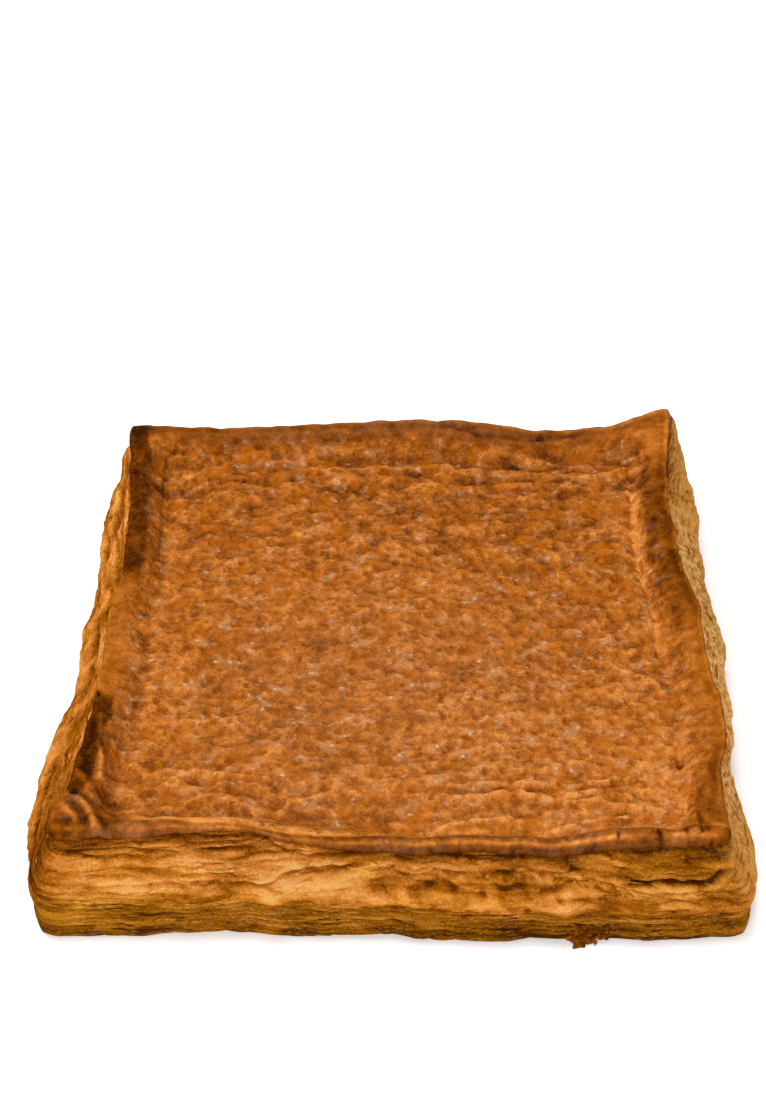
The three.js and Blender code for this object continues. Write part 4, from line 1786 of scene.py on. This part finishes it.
        # Partly painted light: swollen leaves and strips paler and creases darker, over random tone.
        leaf_tone = 0.12 * tone - 0.14 * swollen - 0.08 * strip + 0.2 * crease
        browning += leaf_tone * leafy * (1 - 0.4 * low)
        browning += 0.18 * tone - 0.3 * crumb * crumbly
        streak = (grain(height, 4, 11, 130) + 0.6 * grain(height, 2, 6, 135)) * (ring.side != Side.FRONT)
        browning += 0.16 * streak
        offset += self.streaks * streak
        right = ring.side == Side.RIGHT
        browning += 0.22 * grain(height, 2.6, 1.8, 140) * right
        # Painted shade: hollows darker and crests paler, by how far the wall lies in from its neighbours'
        # mean.
        hollow = averaged(averaged(offset, 4, 0, False), 6, 1, True) - offset
        browning += np.clip(self.painted_hollow_shade * hollow, -0.12, 0.2)
        zone, olive = self.zones(ring, height)
        toast = zone + browning
        numbers = {
            "toast": np.where(toast < self.palest, self.palest - 0.6 * (self.palest - toast), toast),
            "olive": olive * (1 - smooth),
            "flaky": leafy * (0.4 + 0.6 * low),
            "creamy": right * eased(height, 14, 26) * (0.3 + 0.7 * window(ring.y, -110, 75, 25)),
        }
        rounded = {name: self.round_corners(ring, grid) for name, grid in numbers.items()}
        return self.round_corners(ring, offset) + self.stance(ring, height), rounded | {"flow": flow}

    def round_corners(self, ring: Ring, grid: Array) -> Array:
        """Carries numbers of the wall smoothly round the corners."""
        near = eased(np.abs(ring.along), self.corner_start, self.corner_end)
        return grid + near * (averaged(grid * np.ones(len(near)), 8, 1, True) - grid)

    def base_share(self, ring: Ring, height: Array) -> Array:
        """How far points lie in the flaky zone at the base, which rises towards the left of the front.

        Args:
            ring: The wall's columns.
            height: Heights of the points.

        Returns:
            Shares from 0 to 1.
        """
        rise = 4.0 * eased(-ring.x, 0, 110) - 4.5 * eased(ring.x, 0, 110)
        edge = np.where(ring.side == Side.FRONT, 20.5 + rise, 15.0)
        wobble = 1.6 * self.noise(ring.x / 13, ring.y / 13, 33.5)
        wobble = wobble + 2.0 * self.noise(ring.x / 34, ring.y / 34, 34.5)
        soft = 2.2 + 2.3 * eased(-ring.x, 0, 80)
        return 1 - eased((height + wobble - edge) / soft, -1, 1)

    def zones(self, ring: Ring, height: Array) -> tuple[Array, Array]:
        """How browned and how olive the wall is by its height and side, with a painted shadow under the lip.

        Args:
            ring: The wall's columns.
            height: Heights of the points.

        Returns:
            The browning and the share of olive.
        """
        front = ring.side == Side.FRONT
        right = ring.side == Side.RIGHT
        left = ring.side == Side.LEFT
        rightward = front * eased(ring.x, 0, 110)
        low = self.base_share(ring, height)
        below = self.limits(ring)[0] - height
        foot = 1 - eased(height, 2.0, 10.0)
        # Painted shadow: a darker band just under the lip.
        toast = self.base_toast + 0.22 * bell(below, 0, 4.5) + 0.2 * bell(below, 0, 2.0)
        toast = toast + 0.22 * low + 0.18 * foot + (0.1 - 0.04 * low) * rightward
        toast = toast + front * 0.06 * low * bell(ring.x, 10, 55)
        toast = toast - front * 0.07 * eased(-ring.x, 10, 60) * (1 - low)
        # Painted shadow: a darker band under the lip at the front left.
        toast = toast + front * 0.2 * window(ring.x, -142, -54, 8) * eased(height, 38, 40.5)
        toast = toast - right * (0.18 + 0.18 * (1 - eased(height, 10, 22))) + 0.08 * left
        corner = eased(-ring.x, 128, 142) * eased(-ring.y, 90, 140)
        toast = toast + np.where(left, 0.4, 0.1) * corner * eased(height, 12, 26)
        return toast, np.maximum(low, np.where(right, 0.3, 0.45 * rightward))

    def stance(self, ring: Ring, height: Array) -> Array:
        """How far the wall as a whole stands out: in under the lip and at the foot."""
        under = (0.55 * ring.roll + 0.3) * bell(self.limits(ring)[0] - height, 0, 2.5)
        return -under - 0.8 * bell(height, 10, 4) - 0.4 * (1 - eased(height, 0.5, 4)) - 0.2

    def build(self, finish: FlakyDough) -> Piece:
        """Builds the wall, closed above and below inside the pie.

        Args:
            finish: Its finish.

        Returns:
            The piece.
        """
        ring = self.form.ring(self.columns)
        top, foot = self.limits(ring)
        height = top + (foot - top) * np.linspace(0, 1, self.rows)[:, None]
        offset, numbers = self.relief(ring, height)
        zero = np.zeros(len(top))
        inside = self.form.wall_point(ring, zero + self.cap_height, zero - self.cap_inset)
        sole = self.form.wall_point(ring, zero, zero - self.sole_inset)
        rows = np.concatenate((inside[None], self.form.wall_point(ring, height, offset), sole[None]))
        index = np.arange(rows.shape[0] * rows.shape[1]).reshape(rows.shape[:2])
        faces = [ring_faces(upper, lower) for upper, lower in zip(index[:-1], index[1:])]
        faces.append(cap_faces(index[0], index.size, faces_up=True))
        faces.append(cap_faces(index[-1], index.size + 1, faces_up=False))
        middles = np.array([(0, 0, self.cap_height), (0, 0, 0)])
        points = np.concatenate((rows.reshape(-1, 3), middles))
        ends = {name: np.vstack((grid[:1], grid, grid[-1:])) for name, grid in numbers.items()}
        attributes = {name: np.append(grid.ravel(), (0.5, 0.5)) for name, grid in ends.items()}
        piece = mesh_piece("flaky_wall", self.form.placed(points), faces, attributes)
        piece.data.materials.append(finish.material())
        return piece


@dataclass
class Flakes:
    """Thin broken leaf ends that stick out of the wall, scattered over it by a geometry tree.

    Tilts, sizes and browning are drawn by lot between the first and the second of each pair.
    """

    form: PieForm
    noise: DoughNoise
    finish: FlakeFinish
    columns: int = 110
    heights: tuple[float, ...] = (0.05, 0.2, 0.35, 0.5, 0.65, 0.8, 0.9)
    density: float = 16000.0
    length: float = 6.0
    depth: float = 1.3
    thickness: float = 0.22
    taper: float = 0.75
    unevenness: float = 0.5
    uneven_scale: float = 350.0
    seed: int = 3
    tilts: tuple[Place, Place] = ((-0.5, -0.16, -0.25), (0.9, 0.16, 0.25))
    sizes: tuple[Place, Place] = ((0.25, 0.6, 0.5), (1.5, 1.2, 1.2))
    browning: Span = (0.2, 0.65)
    torn_along: Span = (66.0, 100.0)
    torn_height: float = 27.0

    def carrier(self) -> Piece:
        """Makes the smooth wall that the flakes are scattered on.

        Returns:
            The object, with how many flakes each part of it bears.
        """
        ring = self.form.ring(self.columns)
        proud = np.where(ring.side <= Side.RIGHT, 0.7, -0.3)
        many = 0.7 + 0.9 * (ring.side == Side.RIGHT)
        rows = []
        bears = []
        for share in self.heights:
            height = 2.0 + (ring.lip - 6.5) * share
            rows.append(self.form.wall_point(ring, height, proud))
            patchy = eased(self.noise(ring.x / 30, ring.y / 30, 400 + 3 * share), -0.1, 0.5)
            torn = 0.9 * (window(ring.along, *self.torn_along, 6) * bell(height, self.torn_height, 3))
            leafy = 1 - 0.9 * window(height, 14, 26, 2)
            bears.append(np.where(ring.side == Side.FRONT, torn, many * patchy) * leafy + 0.02)
        index = np.arange(len(rows) * len(ring.side)).reshape(len(rows), -1)
        faces = [ring_faces(upper, lower) for lower, upper in zip(index[:-1], index[1:])]
        points = self.form.placed(np.concatenate(rows))
        return mesh_piece("flake_carrier", points, faces, {"bears": np.concatenate(bears)})

    def build(self) -> Piece:
        """Scatters the flakes.

        Returns:
            The piece.
        """
        shape = NodeShape(
            "scattered_flakes",
            {
                "Density": self.density,
                "Length": self.length * MM,
                "Depth": self.depth * MM,
                "Thickness": self.thickness * MM,
                "Unevenness": self.unevenness * MM,
                "Seed": self.seed,
                "Finish": self.finish.material(),
            },
        )
        write = shape.write
        seed = shape.given["Seed"]
        scatter = shape.points()
        out = scatter["Normal"]
        level = write.vector("NORMALIZE", write.vector("CROSS_PRODUCT", (0.0, 0.0, 1.0), out))
        axes = {"Primary Axis": out, "Secondary Axis": level}
        facing = write.add("FunctionNodeAxesToRotation", axes, primary_axis="Z", secondary_axis="X")
        tilt = {"Rotation": facing.outputs[0], "Rotate By": write.lot(*self.tilts, seed)}
        things = {
            "Points": scatter["Points"],
            "Instance": self.flake(shape),
            "Rotation": write.add("FunctionNodeRotateRotation", tilt, rotation_space="LOCAL").outputs[0],
            "Scale": write.lot(*self.sizes, seed, 7.0),
        }
        flakes = shape.strewn(things, write.lot(*self.browning, seed, 13.0), self.uneven_scale, 2.0)
        return shape.run(flakes, self.carrier(), "flakes")

    def flake(self, shape: NodeShape) -> Socket:
        """Makes one flake: a thin plate that tapers to its ends.

        Args:
            shape: The tree that it is made in.

        Returns:
            The flake's mesh.
        """
        write = shape.write
        given = shape.given
        size = write.joined(given["Length"], given["Thickness"], given["Depth"])
        cuts = {"Size": size, "Vertices X": 6, "Vertices Y": 2, "Vertices Z": 3}
        plate = write.add("GeometryNodeMeshCube", cuts).outputs["Mesh"]
        parts = write.parts(write.position())
        along = write.math("DIVIDE", parts["X"], write.product(given["Length"], 0.5))
        narrowed = write.math("SUBTRACT", 1.0, write.product(along, along, self.taper))
        shaped = write.joined(parts["X"], parts["Y"], write.product(parts["Z"], narrowed))
        return write.moved(plate, Position=shaped)


@dataclass(frozen=True)
class CrumbPatch:
    """Crumbs at the front, by place, height, half-length, how far out, how many, how big and how brown."""

    along: float
    height: float
    half_length: float
    out: float
    bears: float
    grow: float
    brown: float


@dataclass
class Crumbs:
    """Crumbs at the front foot and in the torn seam, scattered by a geometry tree."""

    form: PieForm
    finish: FlakeFinish
    columns: int = 280
    radius: float = 0.8
    half_height: float = 0.9
    density: float = 260000.0
    unevenness: float = 3.2
    uneven_scale: float = 330.0
    seed: int = 8
    turns: tuple[Place, Place] = ((0.0, 0.0, 0.0), (6.28, 6.28, 6.28))
    sizes: tuple[Place, Place] = ((0.6, 0.6, 0.5), (1.2, 1.1, 0.9))
    browning: Span = (-0.14, 0.14)
    patches: tuple[CrumbPatch, ...] = (
        CrumbPatch(-40, 1.0, 1.6, 0.4, 0.5, 1.2, 0.5),
        CrumbPatch(74, 0.9, 2.2, 3.0, 5.0, 1.6, 0.84),
        CrumbPatch(76, 1.8, 5.2, 1.7, 5.0, 1.6, 0.84),
        CrumbPatch(78, 2.8, 8.5, 0.6, 5.0, 1.5, 0.82),
        CrumbPatch(77, 5.0, 7.0, -0.4, 4.0, 1.4, 0.8),
        CrumbPatch(76, 7.6, 4.0, -1.0, 3.0, 1.3, 0.8),
        CrumbPatch(44, 27.5, 26.0, -2.2, 0.35, 1.0, 0.45),
        CrumbPatch(83, 26.0, 15.0, -1.2, 0.4, 0.9, 0.35),
        CrumbPatch(-80, 28.5, 20.0, -1.6, 0.2, 0.8, 0.4),
    )

    def carrier(self) -> Piece:
        """Makes the strips that the crumbs are scattered on.

        Returns:
            The object, with how many crumbs each strip bears, how big and how brown.
        """
        ring = self.form.ring(self.columns)
        rows = []
        faces = []
        numbers = {"bears": [], "grow": [], "brown": []}
        for patch in self.patches:
            inside = (ring.side == Side.FRONT) & (np.abs(ring.along - patch.along) < patch.half_length)
            proud = np.full(len(inside), patch.out)
            start = sum(map(len, rows))
            for height in (patch.height - self.half_height, patch.height + self.half_height):
                rows.append(self.form.wall_point(ring, np.full(len(inside), height), proud)[inside])
            count = len(rows[-1])
            lower = start + np.arange(count)
            upper = lower + count
            faces.append(np.column_stack((lower[:-1], lower[1:], upper[1:], upper[:-1])))
            for name, values in numbers.items():
                values.append(np.full(2 * count, getattr(patch, name)))
        attributes = {name: np.concatenate(values) for name, values in numbers.items()}
        return mesh_piece("crumb_carrier", self.form.placed(np.concatenate(rows)), faces, attributes)

    def build(self) -> Piece:
        """Scatters the crumbs and rests them on the bench.

        Returns:
            The piece.
        """
        shape = NodeShape(
            "scattered_crumbs",
            {
                "Density": self.density,
                "Radius": self.radius * MM,
                "Unevenness": self.unevenness * MM,
                "Seed": self.seed,
                "Finish": self.finish.material(),
            },
        )
        write = shape.write
        given = shape.given
        ball = write.add("GeometryNodeMeshIcoSphere", {"Radius": given["Radius"], "Subdivisions": 3})
        things = {
            "Points": shape.points()["Points"],
            "Instance": ball.outputs["Mesh"],
            "Rotation": write.lot(*self.turns, given["Seed"]),
            "Scale": write.scaled(write.lot(*self.sizes, given["Seed"], 5.0), write.held("grow")),
        }
        toast = write.math("ADD", write.held("brown"), write.lot(*self.browning, given["Seed"], 2.0))
        crumbs = shape.strewn(things, toast, self.uneven_scale, 4.0)
        parts = write.parts(write.position())
        above = write.joined(parts["X"], parts["Y"], write.math("MAXIMUM", parts["Z"], 0.0))
        return shape.run(write.moved(crumbs, Position=above), self.carrier(), "crumbs")


@dataclass(frozen=True)
class Lamp:
    """A square soft light, by its name, place and width in metres and power in watts."""

    name: str
    place: Place
    width: float
    power: float

    def hang(self, aim: Place) -> None:
        """Hangs the light.

        Args:
            aim: Where it is aimed, in metres.
        """
        lamp = bpy.data.lights.new(self.name, "AREA")
        lamp.size = self.width
        lamp.energy = self.power
        piece = bpy.data.objects.new(self.name, lamp)
        direction = np.array(aim) - np.array(self.place)
        pitch = math.atan2(math.hypot(direction[0], direction[1]), -direction[2])
        turn = math.atan2(direction[1], direction[0]) - math.pi / 2
        piece.location = self.place
        piece.rotation_euler = (pitch, 0, turn)
        bpy.context.scene.collection.objects.link(piece)


@dataclass
class Studio:
    """The floor, lights and camera. The camera's place is in the pie's plan, in millimetres."""

    floor_size: float = 6.0
    floor_finish: PaleFloor = PaleFloor()
    world_strength: float = 0.06
    lamps: tuple[Lamp, ...] = (
        Lamp("key", (-0.02, -0.02, 1.58), 0.6, 14.2),
        Lamp("back", (-0.8, 0.55, 1.05), 0.4, 9.5),
        Lamp("fill", (-0.25, -1.6, 1.1), 1.2, 23.0),
    )
    aim: Place = (0.0, 0.0, 0.03)
    camera_place: Place = (-4.1, -716.7, 699.6)
    camera_pitch: float = 40.7
    lens: float = 70.1
    sensor: float = 36.0

    def floor(self) -> None:
        """Lays a plain pale floor."""
        half = self.floor_size / 2
        corners = np.array([(-half, -half, 0), (half, -half, 0), (half, half, 0), (-half, half, 0)])
        piece = mesh_piece("floor", corners, [np.array([[0, 1, 2, 3]])], {})
        piece.data.materials.append(self.floor_finish.material())

    def camera(self, form: PieForm) -> None:
        """Sets the camera at the photograph's place.

        Args:
            form: The pie's form, in whose plan the place is given.
        """
        data = bpy.data.cameras.new("camera")
        data.sensor_width = self.sensor
        data.lens = self.lens
        piece = bpy.data.objects.new("camera", data)
        piece.location = form.placed(np.array(self.camera_place))
        piece.rotation_euler = (math.radians(90 - self.camera_pitch), 0, 0)
        bpy.context.scene.collection.objects.link(piece)
        bpy.context.scene.camera = piece

    def world(self) -> None:
        """Makes the room white, and fills it with a little even light."""
        world = bpy.data.worlds.new("white_room")
        world.use_nodes = True
        write = NodeWriter(world.node_tree)
        seen = write.add("ShaderNodeLightPath").outputs["Is Camera Ray"]
        strength = write.ranged(seen, 0.0, 1.0, self.world_strength, 1.0)
        room = write.add("ShaderNodeBackground", {"Color": WHITE, "Strength": strength})
        write.add("ShaderNodeOutputWorld", {"Surface": room.outputs[0]})
        bpy.context.scene.world = world
        bpy.context.scene.view_settings.view_transform = "Standard"

    def build(self, form: PieForm) -> None:
        """Builds the whole studio.

        Args:
            form: The pie's form.
        """
        self.world()
        self.floor()
        for lamp in self.lamps:
            lamp.hang(self.aim)
        self.camera(form)


def main() -> None:
    """Builds the studio and the pie, and reports each piece."""
    logging.basicConfig(level=logging.INFO, format="%(name)s: %(message)s")
    form = PieForm()
    Studio().build(form)
    noise = DoughNoise(seed=11)
    dough = FlakyDough()
    dress(Lid(form, noise).build(EggWashedCrust()))
    dress(Wall(form, noise).build(dough))
    dress(Flakes(form, noise, FlakeFinish("loose_flakes", dough.shades)).build())
    dress(Crumbs(form, FlakeFinish("crumbs", dough.shades)).build())


if __name__ == "__main__":
    main()
